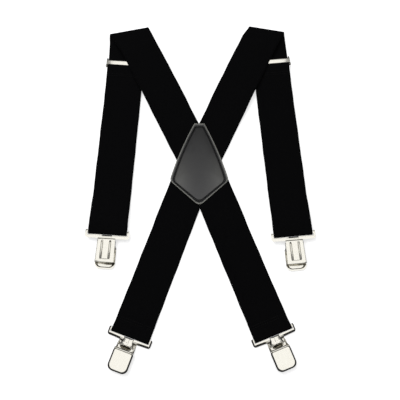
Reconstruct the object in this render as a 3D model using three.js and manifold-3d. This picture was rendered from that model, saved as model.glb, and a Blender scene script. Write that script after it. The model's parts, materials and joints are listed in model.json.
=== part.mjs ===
// Clip-on elastic suspenders with an X back, laid flat with the front legs folded under at the shoulders.
// Units are millimetres, +Z is up, and the object lies on Z = 0. +Y points from the back clips to the shoulders.
import * as THREE from 'three';
import { mergeVertices } from 'three/addons/utils/BufferGeometryUtils.js';
import Module from 'manifold-3d';

// ---- Driving dimensions ----

const WEB = { width: 50, thick: 1.6 };
const AIR = 0.3; // clearance between pieces that lie on each other
const LAYER = WEB.thick + AIR; // height from one layer of webbing to the next
const BAR_LOOP = 2.4; // radius of the webbing's middle where it turns round a clip's bar

// Heights of the webbing's middle above the surface it lies on.
const HEIGHT = {
  floor: WEB.thick / 2,
  front: 2.4,
  backBar: 3.2,
  frontBar: 7.3,
  overAdjuster: 10.2,
  foldTop: 9,
};

// Each strap's plan: angles from the Y axis in degrees, and lengths along the webbing's middle.
// A strap runs from its back clip, through the crossing under the patch, over a shoulder fold and down to a front clip.
const STRAPS = {
  left: { side: -1, upperLean: 26.6, upper: 219.4, lowerLean: 21.9, lower: 209, frontLean: 4, front: 291 },
  right: { side: 1, upperLean: 25.4, upper: 219.8, lowerLean: 20.3, lower: 208.8, frontLean: 5.2, front: 296 },
};
const KNEE = 31; // from the crossing down to where each strap turns inwards
const SEWN = 22; // length of webbing folded back and sewn at a back clip
const ADJUSTER_AT = 50.4; // from the shoulder fold to the adjuster's rear bar
const HEM = 23; // from the rear bar to the end of the hem sewn round the adjuster's rod
const LOOP_LEG = 12; // length of each leg of the webbing that turns round a front clip's bar

const PATCH = { topY: 56.2, topHalf: 6.9, sideY: 19.4, wideY: -21, wideHalf: 38.4, tipY: -57, back: 1.2, face: 1.8 };
const SEAM = { inset: 4, thread: 0.7, high: 0.4, groove: 1 };

const CLIP = {
  barR: 1.3, armIn: 26, armOut: 28.4, ringThick: 2, ringTop: -3.6, ringLow: -8.2, ringCorner: 4,
  notchHalf: 6.7, notchY: -4.75,
  plateTop: -2, plateLow: -3.2, plateEnd: -38.2, neckHalf: 11.2, footHalf: 12,
  pivotY: -20, pivotZ: 5.8, earIn: 10.7, earOut: 11.7, earR: 1.75, boreR: 0.95, pinR: 0.75, pinHalf: 12.3,
  jawLow: 1.3, jawTop: 2.2, jawHalf: 9.8, hookHalf: 6.1, hookTop: -3.55,
  coverLow: 6.4, coverTop: 7.3, coverHalf: 13, coverStart: -22.1, coverEnd: -46.8, coverCorner: 7,
  rimDeep: 2.4, rimThick: 0.9, rollR: 1.5, rollHalf: 10.3, noseR: 3.15,
  padStart: -24, padEnd: -36.8, padHalf: 9.4, toothPitch: 2.1, toothHigh: 0.4,
};

const ADJUSTER = {
  sideIn: 26.2, sideOut: 27.4, barHalf: 2.75, barTop: -1.1, barLow: -2.3,
  rodY: -6.5, rodZ: -3.8, rodR: 0.8, rodHalf: 27.9,
  hingeY: 5.3, hingeZ: 1.65, rollR: 0.6, trunnionR: 0.4, holeR: 0.6,
  leverHalf: 25.9, leverEnd: -6.5, leverLow: 1.55, leverTop: 2.4, floor: 2.35, teeth: 24,
};

const MATERIALS = {
  web: new THREE.MeshStandardMaterial({ color: 0x0b0b0c, roughness: 0.95, metalness: 0 }),
  leather: new THREE.MeshStandardMaterial({ color: 0x1c1c1d, roughness: 0.5, metalness: 0 }),
  thread: new THREE.MeshStandardMaterial({ color: 0x050505, roughness: 0.8, metalness: 0 }),
  steel: new THREE.MeshStandardMaterial({ color: 0xd8d8d4, roughness: 0.18, metalness: 1 }),
  pad: new THREE.MeshStandardMaterial({ color: 0x1a1a1a, roughness: 0.6, metalness: 0 }),
};

// ---- Solids ----

const wasm = await Module();
wasm.setup();

/** A closed geometry as a solid that can be joined to others and cut. */
function solid(geometry) {
  const source = geometry.index ? geometry.toNonIndexed() : geometry;
  const bare = new THREE.BufferGeometry().setAttribute('position', source.getAttribute('position'));
  const merged = mergeVertices(bare, 1e-4);
  return new wasm.Manifold(new wasm.Mesh({
    numProp: 3,
    vertProperties: merged.attributes.position.array,
    triVerts: new Uint32Array(merged.index.array),
  }));
}

/** A joined or cut solid as a geometry. */
function geometryOf(body) {
  const mesh = body.getMesh();
  return new THREE.BufferGeometry()
    .setAttribute('position', new THREE.BufferAttribute(new Float32Array(mesh.vertProperties), 3))
    .setIndex(new THREE.BufferAttribute(new Uint32Array(mesh.triVerts), 1));
}

/** All the given solids joined into one. */
const joined = (...bodies) => bodies.reduce((sum, body) => sum.add(body));

/** A plan outline given a thickness along Z. */
function plate(shape, low, high, curveSegments = 6) {
  const options = { depth: high - low, bevelEnabled: false, curveSegments };
  return solid(new THREE.ExtrudeGeometry(shape, options).translate(0, 0, low));
}

/** A side profile in Y and Z, carried across X. */
function across(shape, low, high, curveSegments = 6) {
  const options = { depth: high - low, bevelEnabled: false, curveSegments };
  const turn = new THREE.Matrix4().set(0, 0, 1, low, 1, 0, 0, 0, 0, 1, 0, 0, 0, 0, 0, 1);
  return solid(new THREE.ExtrudeGeometry(shape, options).applyMatrix4(turn));
}

/** A round rod along X. */
function rod(radius, low, high, y, z, sides = 16) {
  const geometry = new THREE.CylinderGeometry(radius, radius, high - low, sides);
  return solid(geometry.rotateZ(-Math.PI / 2).translate((low + high) / 2, y, z));
}

/** A closed outline through corner points. */
const outline = (...points) => new THREE.Shape(points.map(([x, y]) => new THREE.Vector2(x, y)));

/** A shape and its mirror image across X = 0, joined or cut one after the other. */
const mirrored = (make) => joined(make(1), make(-1));

/** A rectangle's outline with its two lower corners rounded. */
function tongue(half, top, low, corner) {
  const shape = new THREE.Shape().moveTo(half, top).lineTo(-half, top).lineTo(-half, low + corner);
  shape.quadraticCurveTo(-half, low, -half + corner, low).lineTo(half - corner, low);
  return shape.quadraticCurveTo(half, low, half, low + corner).lineTo(half, top);
}

/** A slot's outline along Y, with round ends. */
function slot(x, top, low, half) {
  const shape = new THREE.Shape().moveTo(x + half, low).lineTo(x + half, top);
  shape.absarc(x, top, half, 0, Math.PI, false).lineTo(x - half, low);
  return shape.absarc(x, low, half, Math.PI, 2 * Math.PI, false);
}

/** A named piece with its material. */
function piece(name, body, material) {
  const geometry = body.isBufferGeometry ? body : geometryOf(body);
  const mesh = new THREE.Mesh(geometry, material);
  mesh.name = name;
  return mesh;
}

// ---- Webbing ----

/** A unit direction in plan, leaning sideways from +Y or from -Y. */
function heading(lean, side, up) {
  const angle = THREE.MathUtils.degToRad(lean);
  return new THREE.Vector3(side * Math.sin(angle), up * Math.cos(angle), 0);
}

const leftOf = (direction) => new THREE.Vector3(-direction.y, direction.x, 0);

/** A height that runs smoothly through [distance, height] pairs. */
function eased(distance, pairs) {
  if (distance <= pairs[0][0]) return pairs[0][1];
  for (let i = 1; i < pairs.length; i++) {
    const [[from, low], [to, high]] = [pairs[i - 1], pairs[i]];
    if (distance <= to) return low + (high - low) * THREE.MathUtils.smoothstep(distance, from, to);
  }
  return pairs[pairs.length - 1][1];
}

/** Cross lines of webbing along a straight leg: each holds its middle and the half-width vector to its left edge. */
function leg(start, direction, edge, from, to, pairs, step = 10) {
  const count = Math.max(1, Math.round(Math.abs(to - from) / step));
  return Array.from({ length: count + 1 }, (_, i) => {
    const distance = from + (to - from) * i / count;
    const middle = start.clone().addScaledVector(direction, distance);
    return { middle: middle.setZ(eased(distance, pairs)), edge };
  });
}

/** Cross lines round a bar: half a turn from below or above it, on the side that direction points to. */
function turn(centre, direction, edge, radius, fromBelow, count = 10) {
  return Array.from({ length: count - 1 }, (_, i) => {
    const angle = Math.PI * (i + 1) / count;
    const middle = centre.clone().addScaledVector(direction, radius * Math.sin(angle));
    middle.z += (fromBelow ? -1 : 1) * radius * Math.cos(angle);
    return { middle, edge };
  });
}

/** A closed ribbon through cross lines, with the webbing's thickness. */
function ribbon(lines) {
  const corners = lines.map(({ middle, edge }, i) => {
    const before = lines[Math.max(0, i - 1)].middle;
    const after = lines[Math.min(lines.length - 1, i + 1)].middle;
    const out = after.clone().sub(before).cross(edge).setLength(WEB.thick / 2);
    const left = middle.clone().add(edge);
    const right = middle.clone().sub(edge);
    return [left.clone().add(out), right.clone().add(out), right.clone().sub(out), left.clone().sub(out)];
  });
  const index = [];
  const square = (a, b, c, d) => index.push(a, b, c, a, c, d);
  for (let i = 0; i + 1 < corners.length; i++) {
    for (let k = 0; k < 4; k++) square(4 * i + k, 4 * i + (k + 1) % 4, 4 * i + 4 + (k + 1) % 4, 4 * i + 4 + k);
  }
  const end = 4 * (corners.length - 1);
  square(3, 2, 1, 0);
  square(end, end + 1, end + 2, end + 3);
  return new THREE.BufferGeometry().setFromPoints(corners.flat()).setIndex(index);
}

/** The directions and places that one strap's plan is worked out from. The crossing is at X = Y = 0. */
function planOf(strap) {
  const up = heading(strap.upperLean, strap.side, 1);
  const down = heading(strap.lowerLean, -strap.side, -1);
  const front = heading(strap.frontLean, strap.side, -1);
  const crease = up.clone().add(front).normalize(); // the direction of the shoulder fold's line
  const outwards = up.clone().addScaledVector(crease, -up.dot(crease)).normalize();
  const knee = up.clone().multiplyScalar(-KNEE);
  const fold = up.clone().multiplyScalar(strap.upper);
  return {
    up, down, front, crease, outwards, knee, fold,
    backBar: knee.clone().addScaledVector(down, strap.lower),
    frontBar: fold.clone().addScaledVector(front, strap.front),
    edgeUp: leftOf(up).multiplyScalar(WEB.width / 2),
    edgeDown: leftOf(down).multiplyScalar(-WEB.width / 2),
    edgeFront: leftOf(front).multiplyScalar(-WEB.width / 2),
  };
}

/** The strap from the hem sewn at its back clip, through the crossing and the shoulder fold, to its adjuster. */
function strapLines(strap, crossHeight) {
  const plan = planOf(strap);
  const towards = plan.down.clone().negate();
  const doubled = HEIGHT.floor + LAYER;
  const barTop = HEIGHT.backBar + BAR_LOOP;
  const lowerHeights = [
    [0, barTop], [SEWN - 8, doubled], [SEWN + 3, doubled], [SEWN + 20, HEIGHT.floor],
    [strap.lower - 82, HEIGHT.floor], [strap.lower - 40, crossHeight],
  ];
  const lines = leg(plan.backBar, towards, plan.edgeDown, SEWN, 1, [[0, HEIGHT.floor]]);
  lines.push(...turn(plan.backBar.clone().setZ(HEIGHT.backBar), plan.down, plan.edgeDown, BAR_LOOP, true));
  lines.push(...leg(plan.backBar, towards, plan.edgeDown, 1, strap.lower - 20, lowerHeights, 7));
  // The knee: the webbing swings from its lower lean to its upper lean over a short curve.
  const swing = 20;
  for (let i = 1; i < 6; i++) {
    const share = i / 6;
    const before = plan.knee.clone().addScaledVector(plan.down, swing * (1 - share));
    const after = plan.knee.clone().addScaledVector(plan.up, swing * share);
    const middle = before.lerp(after, share).setZ(crossHeight);
    const edge = plan.edgeDown.clone().lerp(plan.edgeUp, share).setLength(WEB.width / 2);
    lines.push({ middle, edge });
  }
  const upperHeights = [
    [62, crossHeight], [strap.upper - 101, HEIGHT.overAdjuster], [strap.upper - 30, HEIGHT.overAdjuster],
    [strap.upper - 12, HEIGHT.foldTop],
  ];
  const origin = new THREE.Vector3();
  lines.push(...leg(origin, plan.up, plan.edgeUp, swing - KNEE, strap.upper - 26, upperHeights, 8));
  // The fold: half a turn about a line that lies askew to the webbing, so its cross lines lie along that line.
  const radius = (HEIGHT.foldTop - HEIGHT.front) / 2;
  const slope = plan.up.dot(plan.crease) / plan.up.dot(plan.outwards);
  const skew = plan.crease.clone().multiplyScalar(WEB.width / 2 / plan.crease.dot(plan.edgeUp.clone().normalize()));
  const start = plan.fold.clone().addScaledVector(plan.up, -Math.PI * radius / 2 / plan.up.dot(plan.outwards));
  const steps = 12;
  for (let i = 0; i <= steps; i++) {
    const angle = Math.PI * i / steps;
    const middle = start.clone().addScaledVector(plan.outwards, radius * Math.sin(angle));
    middle.addScaledVector(plan.crease, radius * angle * slope);
    middle.z = HEIGHT.front + radius * (1 + Math.cos(angle));
    lines.push({ middle, edge: skew });
  }
  lines.push(...leg(plan.fold, plan.front, plan.edgeFront, 22, ADJUSTER_AT - AIR / 2, [[0, HEIGHT.front]]));
  return lines;
}

/** The heights of the two layers of a front leg near its clip, by distance from the fold. */
function frontHeights(strap) {
  const [low, high] = [HEIGHT.frontBar - BAR_LOOP, HEIGHT.frontBar + BAR_LOOP];
  const returned = HEIGHT.front + LAYER;
  const hemEnd = ADJUSTER_AT + HEM;
  return {
    main: [[strap.front - 60, HEIGHT.front], [strap.front - 8, low]],
    returned: [
      [hemEnd, returned + LAYER], [hemEnd + 16, returned], [strap.front - 60, returned], [strap.front - 8, high],
    ],
  };
}

/** The front leg's main layer, from the adjuster down to the loop round the clip's bar. */
function frontWebLines(strap) {
  const plan = planOf(strap);
  const heights = frontHeights(strap).main;
  const end = strap.front - LOOP_LEG - AIR;
  return leg(plan.fold, plan.front, plan.edgeFront, ADJUSTER_AT + AIR / 2, end, heights);
}

/** The loop of webbing round a front clip's bar. */
function clipLoopLines(strap) {
  const plan = planOf(strap);
  const { main, returned } = frontHeights(strap);
  const start = strap.front - LOOP_LEG;
  const centre = plan.frontBar.clone().setZ(HEIGHT.frontBar);
  return [
    ...leg(plan.fold, plan.front, plan.edgeFront, start, strap.front - 1, main, 4),
    ...turn(centre, plan.front, plan.edgeFront, BAR_LOOP, true),
    ...leg(plan.fold, plan.front, plan.edgeFront, strap.front - 1, start, returned, 4),
  ];
}

/** The layer that returns from the clip to the adjuster, on top of the main layer. */
function returnWebLines(strap) {
  const plan = planOf(strap);
  const heights = frontHeights(strap).returned;
  const start = strap.front - LOOP_LEG - AIR;
  return leg(plan.fold, plan.front, plan.edgeFront, start, ADJUSTER_AT + HEM + AIR, heights);
}

/** The hem at the end of the returned layer, sewn round the adjuster's rod. */
function hemLines(strap) {
  const plan = planOf(strap);
  const radius = ADJUSTER.rodR + AIR + WEB.thick / 2;
  const rodHeight = HEIGHT.front - ADJUSTER.rodZ;
  const rodAt = ADJUSTER_AT - ADJUSTER.rodY;
  const end = ADJUSTER_AT + HEM;
  const returned = HEIGHT.front + LAYER;
  const heights = [[rodAt + 1, rodHeight + radius], [end - 6, returned + LAYER]];
  const centre = plan.fold.clone().addScaledVector(plan.front, rodAt).setZ(rodHeight);
  const towards = plan.front.clone().negate();
  return [
    ...leg(plan.fold, plan.front, plan.edgeFront, end, rodAt + 0.5, heights, 4),
    ...turn(centre, towards, plan.edgeFront, radius, false),
    ...leg(plan.fold, plan.front, plan.edgeFront, rodAt + 0.5, end, [[0, rodHeight - radius]], 6),
  ];
}

function makeStrap(name, strap, crossHeight) {
  return [
    piece(`${name}_strap`, ribbon(strapLines(strap, crossHeight)), MATERIALS.web),
    piece(`${name}_front_web`, ribbon(frontWebLines(strap)), MATERIALS.web),
    piece(`${name}_clip_loop`, ribbon(clipLoopLines(strap)), MATERIALS.web),
    piece(`${name}_return_web`, ribbon(returnWebLines(strap)), MATERIALS.web),
    piece(`${name}_return_hem`, ribbon(hemLines(strap)), MATERIALS.web),
  ];
}

// ---- Patch over the crossing ----

/** The kite outline of the patch, drawn in by a margin. */
function kite(margin) {
  const { topY, topHalf, sideY, wideY, wideHalf, tipY } = PATCH;
  const top = topY - margin;
  const tip = tipY + margin * 1.15;
  const half = topHalf - margin * 0.45;
  const wide = wideHalf - margin * 1.05;
  const bulge = 26 - margin;
  const shape = new THREE.Shape().moveTo(half, top).lineTo(-half, top);
  shape.quadraticCurveTo(-bulge, sideY, -wide + 0.9, wideY + 2.5);
  shape.quadraticCurveTo(-wide - 0.9, wideY - 2, -wide + 2.3, wideY - 6);
  shape.lineTo(-5, tip + 2.2).quadraticCurveTo(0, tip - 1.6, 5, tip + 2.2).lineTo(wide - 2.3, wideY - 6);
  shape.quadraticCurveTo(wide + 0.9, wideY - 2, wide - 0.9, wideY + 2.5);
  return shape.quadraticCurveTo(bulge, sideY, half, top);
}

function makePatch() {
  const low = PATCH.back + AIR + LAYER + LAYER - AIR;
  const faceTop = low + PATCH.face;
  const grooveLow = faceTop - SEAM.groove;
  const band = (outer, inner, from, to) => plate(kite(outer), from, to).subtract(plate(kite(inner), from - 1, to + 1));
  const groove = band(SEAM.inset - AIR, SEAM.inset + SEAM.thread + AIR, grooveLow, faceTop + 1);
  const ring = band(SEAM.inset, SEAM.inset + SEAM.thread, grooveLow + AIR, grooveLow + AIR + SEAM.high);
  return [
    piece('patch_back', plate(kite(0), 0, PATCH.back), MATERIALS.leather),
    piece('patch_face', plate(kite(0), low, faceTop).subtract(groove), MATERIALS.leather),
    piece('patch_stitching', ring, MATERIALS.thread),
  ];
}

// ---- Clips ----
// A clip's own frame has its strap bar along X through the origin, its jaws towards -Y and its cover on the +Z side.

/** The side profile of a sheet with a row of gripping teeth along one face. */
function toothed(base, face) {
  const { padStart, padEnd, toothPitch, toothHigh } = CLIP;
  const points = [[padStart, base], [padEnd, base]];
  const count = Math.round((padStart - padEnd) / toothPitch);
  const pitch = (padStart - padEnd) / count;
  for (let i = 0; i < count; i++) {
    points.push([padEnd + i * pitch, face], [padEnd + (i + 0.5) * pitch, face + Math.sign(face - base) * toothHigh]);
  }
  points.push([padStart, face]);
  return outline(...(face > base ? points.reverse() : points));
}

function clipFrame() {
  const c = CLIP;
  const ring = tongue(c.armOut, 0, c.ringLow, c.ringCorner);
  ring.holes.push(outline([-c.armIn, -0.5], [-c.armIn, c.ringTop], [c.armIn, c.ringTop], [c.armIn, -0.5]));
  const notch = outline([-c.notchHalf, -2], [c.notchHalf, -2], [c.notchHalf, c.notchY], [-c.notchHalf, c.notchY]);
  const half = c.ringThick / 2;
  const sheet = outline(
    [-6.5, 0.2], [-6.5, -half], [-7, -half], [-10.3, c.plateLow], [c.plateEnd, c.plateLow],
    [c.plateEnd, c.plateTop + 1.1], [c.plateEnd + 1, c.plateTop + 1.1], [c.plateEnd + 1, c.plateTop],
    [-11.5, c.plateTop], [c.ringLow, 0.2],
  );
  const plan = outline(
    [-c.neckHalf, -6], [-c.footHalf, c.plateEnd - 1], [c.footHalf, c.plateEnd - 1], [c.neckHalf, -6],
  );
  const ear = new THREE.Shape().moveTo(-22.2, c.plateLow + 0.7).lineTo(-10.6, c.plateLow + 0.7).lineTo(-11, 0.8);
  ear.lineTo(-14.5, 0.8).lineTo(-17, 1.5).lineTo(c.pivotY + c.earR, c.pivotZ);
  ear.absarc(c.pivotY, c.pivotZ, c.earR, 0, Math.PI, false);
  const body = joined(
    plate(ring, -half, half),
    rod(c.barR, -c.armOut, c.armOut, 0, 0),
    across(sheet, -13, 13).intersect(plate(plan, -4, 2)),
    mirrored((side) => across(ear, Math.min(side * c.earIn, side * c.earOut), Math.max(side * c.earIn, side * c.earOut))),
  );
  const grooves = mirrored((side) => plate(slot(side * 5.2, -13, -33, 1.65), c.plateLow - 1, c.plateLow + 0.5));
  const holes = mirrored((side) => plate(slot(side * 5.2, -12, -12.3, 1.1), -5, -1));
  return body.subtract(plate(notch, -2, 2)).subtract(grooves).subtract(holes)
    .subtract(rod(c.boreR, -14, 14, c.pivotY, c.pivotZ));
}

function clipJaw() {
  const c = CLIP;
  const [h, w] = [c.hookHalf, c.jawHalf];
  const plan = new THREE.Shape().moveTo(h, -4).lineTo(-h, -4).lineTo(-h, -9);
  plan.quadraticCurveTo(-h, -13, -w, -15.3).lineTo(-w, c.plateEnd + 3.2).quadraticCurveTo(-w, c.plateEnd, -w + 3, c.plateEnd);
  plan.lineTo(w - 3, c.plateEnd).quadraticCurveTo(w, c.plateEnd, w, c.plateEnd + 3.2).lineTo(w, -15.3);
  plan.quadraticCurveTo(h, -13, h, -9).lineTo(h, -4);
  const window = new THREE.Shape().moveTo(-7.4, -18).quadraticCurveTo(0, -18.6, 7.4, -18);
  window.quadraticCurveTo(0, -13.2, -7.4, -18);
  const hook = outline(
    [-6, c.jawTop], [-6, c.jawLow], [-4.45, c.jawLow], [-4.45, -1.3], [-6.6, -1.3], [-6.6, -2.2],
    [c.hookTop, -2.2], [c.hookTop, c.jawTop],
  );
  const lip = outline([c.plateEnd + 0.9, c.jawTop], [c.plateEnd, c.jawTop], [c.plateEnd, -0.1], [c.plateEnd + 0.9, -0.1]);
  const scallops = mirrored((side) => plate(slot(side * 1.8, -6.9, -7.4, 0.75), -3, -1.2));
  return joined(plate(plan, c.jawLow, c.jawTop), across(hook, -h, h), across(lip, -6.6, 6.6))
    .subtract(plate(window, 0, 4, 8)).subtract(scallops);
}

function clipLever() {
  const c = CLIP;
  const cover = tongue(c.coverHalf, c.coverStart, c.coverEnd, c.coverCorner);
  const inner = tongue(c.coverHalf - c.rimThick, 0, c.coverEnd + c.rimThick, c.coverCorner - c.rimThick);
  const neck = outline(
    [-c.rollHalf, c.pivotY], [-c.rollHalf, c.coverStart - 0.5], [c.rollHalf, c.coverStart - 0.5], [c.rollHalf, c.pivotY],
  );
  const nose = outline(
    [c.pivotY - 0.9, c.pivotZ - 1], [c.pivotY - 0.6, c.pivotZ - c.noseR + 0.3], [c.pivotY, c.pivotZ - c.noseR],
    [c.pivotY + 0.6, c.pivotZ - c.noseR + 0.3], [c.pivotY + 0.9, c.pivotZ - 1],
  );
  const rim = plate(cover, c.coverTop - c.rimDeep, c.coverLow + 0.1, 8).subtract(plate(inner, 0, 9, 8));
  return joined(
    plate(cover, c.coverLow, c.coverTop, 8), rim, plate(neck, c.coverLow, c.coverTop),
    rod(c.rollR, -c.rollHalf, c.rollHalf, c.pivotY, c.pivotZ, 20), across(nose, -8, 8),
  ).subtract(rod(c.boreR, -14, 14, c.pivotY, c.pivotZ));
}

/** One clip, with its bar at a place, its jaws towards a direction, and its cover up or down. */
function makeClip(name, place, direction, coverUp) {
  const c = CLIP;
  const clip = new THREE.Group();
  clip.position.copy(place);
  clip.rotation.order = 'ZYX';
  clip.rotation.set(0, coverUp ? 0 : Math.PI, Math.atan2(direction.x, -direction.y));
  const pin = rod(c.pinR, -c.pinHalf, c.pinHalf, c.pivotY, c.pivotZ, 12);
  clip.add(
    piece(`${name}_clip_frame`, clipFrame(), MATERIALS.steel),
    piece(`${name}_clip_jaw`, clipJaw(), MATERIALS.steel),
    piece(`${name}_clip_lever`, clipLever(), MATERIALS.steel),
    piece(`${name}_clip_pin`, pin, MATERIALS.steel),
    piece(`${name}_clip_frame_pad`, across(toothed(c.plateTop + 0.2, -1.1), -c.padHalf, c.padHalf), MATERIALS.pad),
    piece(`${name}_clip_jaw_pad`, across(toothed(c.jawLow - 0.2, 0.4), -c.padHalf, c.padHalf), MATERIALS.pad),
  );
  return clip;
}

// ---- Adjusters ----
// An adjuster's own frame has the webbing's middle at Z = 0, +Y towards the shoulder and its lever on the +Z side.

function adjusterFrame() {
  const a = ADJUSTER;
  const side = outline(
    [6.9, a.floor], [-1, a.floor], [-6, 1], [-8.4, -3], [-8.1, -5.2], [-5, -5.2], [-3.2, a.barLow], [3.2, a.barLow],
    [6.9, -0.5],
  );
  const bar = outline(
    [a.barHalf, a.barLow], [a.barHalf, a.barTop], [-a.barHalf, a.barTop], [-a.barHalf, a.barLow],
  );
  const sides = mirrored((x) => across(side, Math.min(x * a.sideIn, x * a.sideOut), Math.max(x * a.sideIn, x * a.sideOut)));
  return joined(across(bar, -a.sideOut, a.sideOut), sides)
    .subtract(rod(a.holeR, -30, 30, a.hingeY, a.hingeZ))
    .subtract(rod(a.rodR + 0.2, -30, 30, a.rodY, a.rodZ));
}

function adjusterLever() {
  const a = ADJUSTER;
  const sheet = outline([a.hingeY, a.leverLow], [a.hingeY, 2.25], [a.hingeY - 0.6, a.leverTop],
    [a.leverEnd, a.leverTop], [a.leverEnd, a.leverLow]);
  const pitch = 2 * 25 / a.teeth;
  const comb = [[25, 1.7], [-25, 1.7]];
  for (let i = 0; i < a.teeth; i++) comb.push([-25 + i * pitch, 1.4], [-25 + (i + 0.5) * pitch, 1.02]);
  comb.push([25, 1.4]);
  const teeth = new THREE.ExtrudeGeometry(outline(...comb.reverse()), { depth: 0.8, bevelEnabled: false });
  return joined(
    across(sheet, -a.leverHalf, a.leverHalf),
    rod(a.rollR, -a.leverHalf, a.leverHalf, a.hingeY, a.hingeZ, 12),
    rod(a.trunnionR, -a.sideOut + 0.1, a.sideOut - 0.1, a.hingeY, a.hingeZ, 12),
    solid(teeth.rotateX(Math.PI / 2).translate(0, 4.2, 0)),
  );
}

/** One adjuster on a front leg. The leg is face down, so the adjuster is turned over. */
function makeAdjuster(name, strap) {
  const a = ADJUSTER;
  const { fold, front } = planOf(strap);
  const adjuster = new THREE.Group();
  adjuster.position.copy(fold).addScaledVector(front, ADJUSTER_AT).setZ(HEIGHT.front);
  adjuster.rotation.order = 'ZYX';
  adjuster.rotation.set(0, Math.PI, Math.atan2(front.x, -front.y));
  adjuster.add(
    piece(`${name}_adjuster_frame`, adjusterFrame(), MATERIALS.steel),
    piece(`${name}_adjuster_lever`, adjusterLever(), MATERIALS.steel),
    piece(`${name}_adjuster_rod`, rod(a.rodR, -a.rodHalf, a.rodHalf, a.rodY, a.rodZ, 12), MATERIALS.steel),
  );
  return adjuster;
}

// ---- The whole object ----

const suspenders = new THREE.Group();
const underHeight = PATCH.back + AIR + WEB.thick / 2;
const heights = { left: underHeight + LAYER, right: underHeight };
for (const [name, strap] of Object.entries(STRAPS)) {
  const plan = planOf(strap);
  const other = name === 'left' ? 'right' : 'left'; // the straps cross, so each ends at the other side's back clip
  suspenders.add(
    ...makeStrap(name, strap, heights[name]),
    makeAdjuster(name, strap),
    makeClip(`front_${name}`, plan.frontBar.clone().setZ(HEIGHT.frontBar), plan.front, false),
    makeClip(`back_${other}`, plan.backBar.clone().setZ(HEIGHT.backBar), plan.down, true),
  );
}
suspenders.add(...makePatch());

// The origin is the middle of the object's base.
const box = new THREE.Box3().setFromObject(suspenders, true);
const middle = box.getCenter(new THREE.Vector3());
suspenders.position.set(-middle.x, -middle.y, -box.min.z);

export default suspenders;
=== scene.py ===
"""Looks for a pair of wide clip-on suspenders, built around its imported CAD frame.

The straps lie flat with their back halves face up and their front halves folded underneath at
the shoulders. Soft pieces replace the plain CAD solids. The clips and adjusters are modelled once
at the bench, in millimetres, and a copy of each part is set in its place, in metres.
"""

import json
import logging
import math
from collections.abc import Callable, Iterable, Sequence
from dataclasses import dataclass, field
from enum import Enum

import bmesh
import bpy
from mathutils import Matrix, Vector

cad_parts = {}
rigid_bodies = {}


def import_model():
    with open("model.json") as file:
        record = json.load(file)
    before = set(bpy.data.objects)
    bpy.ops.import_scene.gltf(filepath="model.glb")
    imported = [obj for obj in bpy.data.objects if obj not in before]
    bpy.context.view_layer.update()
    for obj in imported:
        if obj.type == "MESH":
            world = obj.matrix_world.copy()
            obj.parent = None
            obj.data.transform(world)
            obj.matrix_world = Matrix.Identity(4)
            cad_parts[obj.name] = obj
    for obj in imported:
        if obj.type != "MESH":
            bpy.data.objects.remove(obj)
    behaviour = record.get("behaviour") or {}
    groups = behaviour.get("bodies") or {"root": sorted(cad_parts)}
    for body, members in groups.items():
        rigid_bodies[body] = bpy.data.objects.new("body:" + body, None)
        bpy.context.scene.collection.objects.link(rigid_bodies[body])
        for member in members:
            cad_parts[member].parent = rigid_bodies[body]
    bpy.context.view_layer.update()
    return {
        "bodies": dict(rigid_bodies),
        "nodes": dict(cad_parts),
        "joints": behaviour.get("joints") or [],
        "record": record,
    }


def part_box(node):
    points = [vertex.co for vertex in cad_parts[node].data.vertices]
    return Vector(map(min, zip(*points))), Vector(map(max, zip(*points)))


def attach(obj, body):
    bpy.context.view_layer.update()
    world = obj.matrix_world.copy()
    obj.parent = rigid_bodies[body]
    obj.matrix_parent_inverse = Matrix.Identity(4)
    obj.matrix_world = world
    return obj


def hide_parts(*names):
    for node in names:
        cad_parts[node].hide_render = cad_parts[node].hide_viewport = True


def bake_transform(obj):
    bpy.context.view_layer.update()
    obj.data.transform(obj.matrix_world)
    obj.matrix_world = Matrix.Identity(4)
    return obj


LOG = logging.getLogger("suspenders")
MM = 0.001

Test = Callable[[Vector, Vector], bool]
Nodes = bpy.types.ShaderNodeTree


class Part(Enum):
    """What a bench step picks: edges or faces."""

    EDGE = "EDGE"
    FACE = "FACE"


# ---- Finishes ----


def linear(hex_colour: str) -> tuple[float, float, float, float]:
    """Turns an sRGB hex colour into the linear colour that a shader takes.

    Args:
        hex_colour: Six hex digits after a hash.

    Returns:
        Red, green, blue and an alpha of one.
    """
    parts = [int(hex_colour[i : i + 2], 16) / 255 for i in (1, 3, 5)]
    red, green, blue = (c / 12.92 if c <= 0.04045 else ((c + 0.055) / 1.055) ** 2.4 for c in parts)
    return red, green, blue, 1.0


def add_node(
    tree: Nodes, kind: str, links: dict[str | int, bpy.types.NodeSocket] | None = None, **settings: object
) -> bpy.types.Node:
    """Adds one node with its settings and links.

    Args:
        tree: The node tree.
        kind: The node's type, without the "ShaderNode" at its front.
        links: Input socket, by name or number, to the socket that feeds it.
        **settings: Node properties by name, or input values as in_NUMBER or in_NAME.

    Returns:
        The new node.
    """
    node = tree.nodes.new("ShaderNode" + kind)
    inputs: dict[str | int, object] = {}
    for name, value in settings.items():
        if name.startswith("in_"):
            key = name[3:]
            inputs[int(key) if key.isdigit() else key.replace("_", " ")] = value
        else:
            setattr(node, name, value)
    for socket, value in inputs.items():
        node.inputs[socket].default_value = value
    for socket, source in (links or {}).items():
        tree.links.new(source, node.inputs[socket])
    return node


def maths(tree: Nodes, operation: str, *values: bpy.types.NodeSocket | float) -> bpy.types.NodeSocket:
    """Adds a Math node and returns its output.

    Args:
        tree: The node tree.
        operation: The Math node's operation.
        *values: Sockets or plain numbers, in input order.

    Returns:
        The node's output socket.
    """
    links = {i: v for i, v in enumerate(values) if isinstance(v, bpy.types.NodeSocket)}
    numbers = {f"in_{i}": v for i, v in enumerate(values) if not isinstance(v, bpy.types.NodeSocket)}
    return add_node(tree, "Math", links, operation=operation, **numbers).outputs[0]


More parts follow.
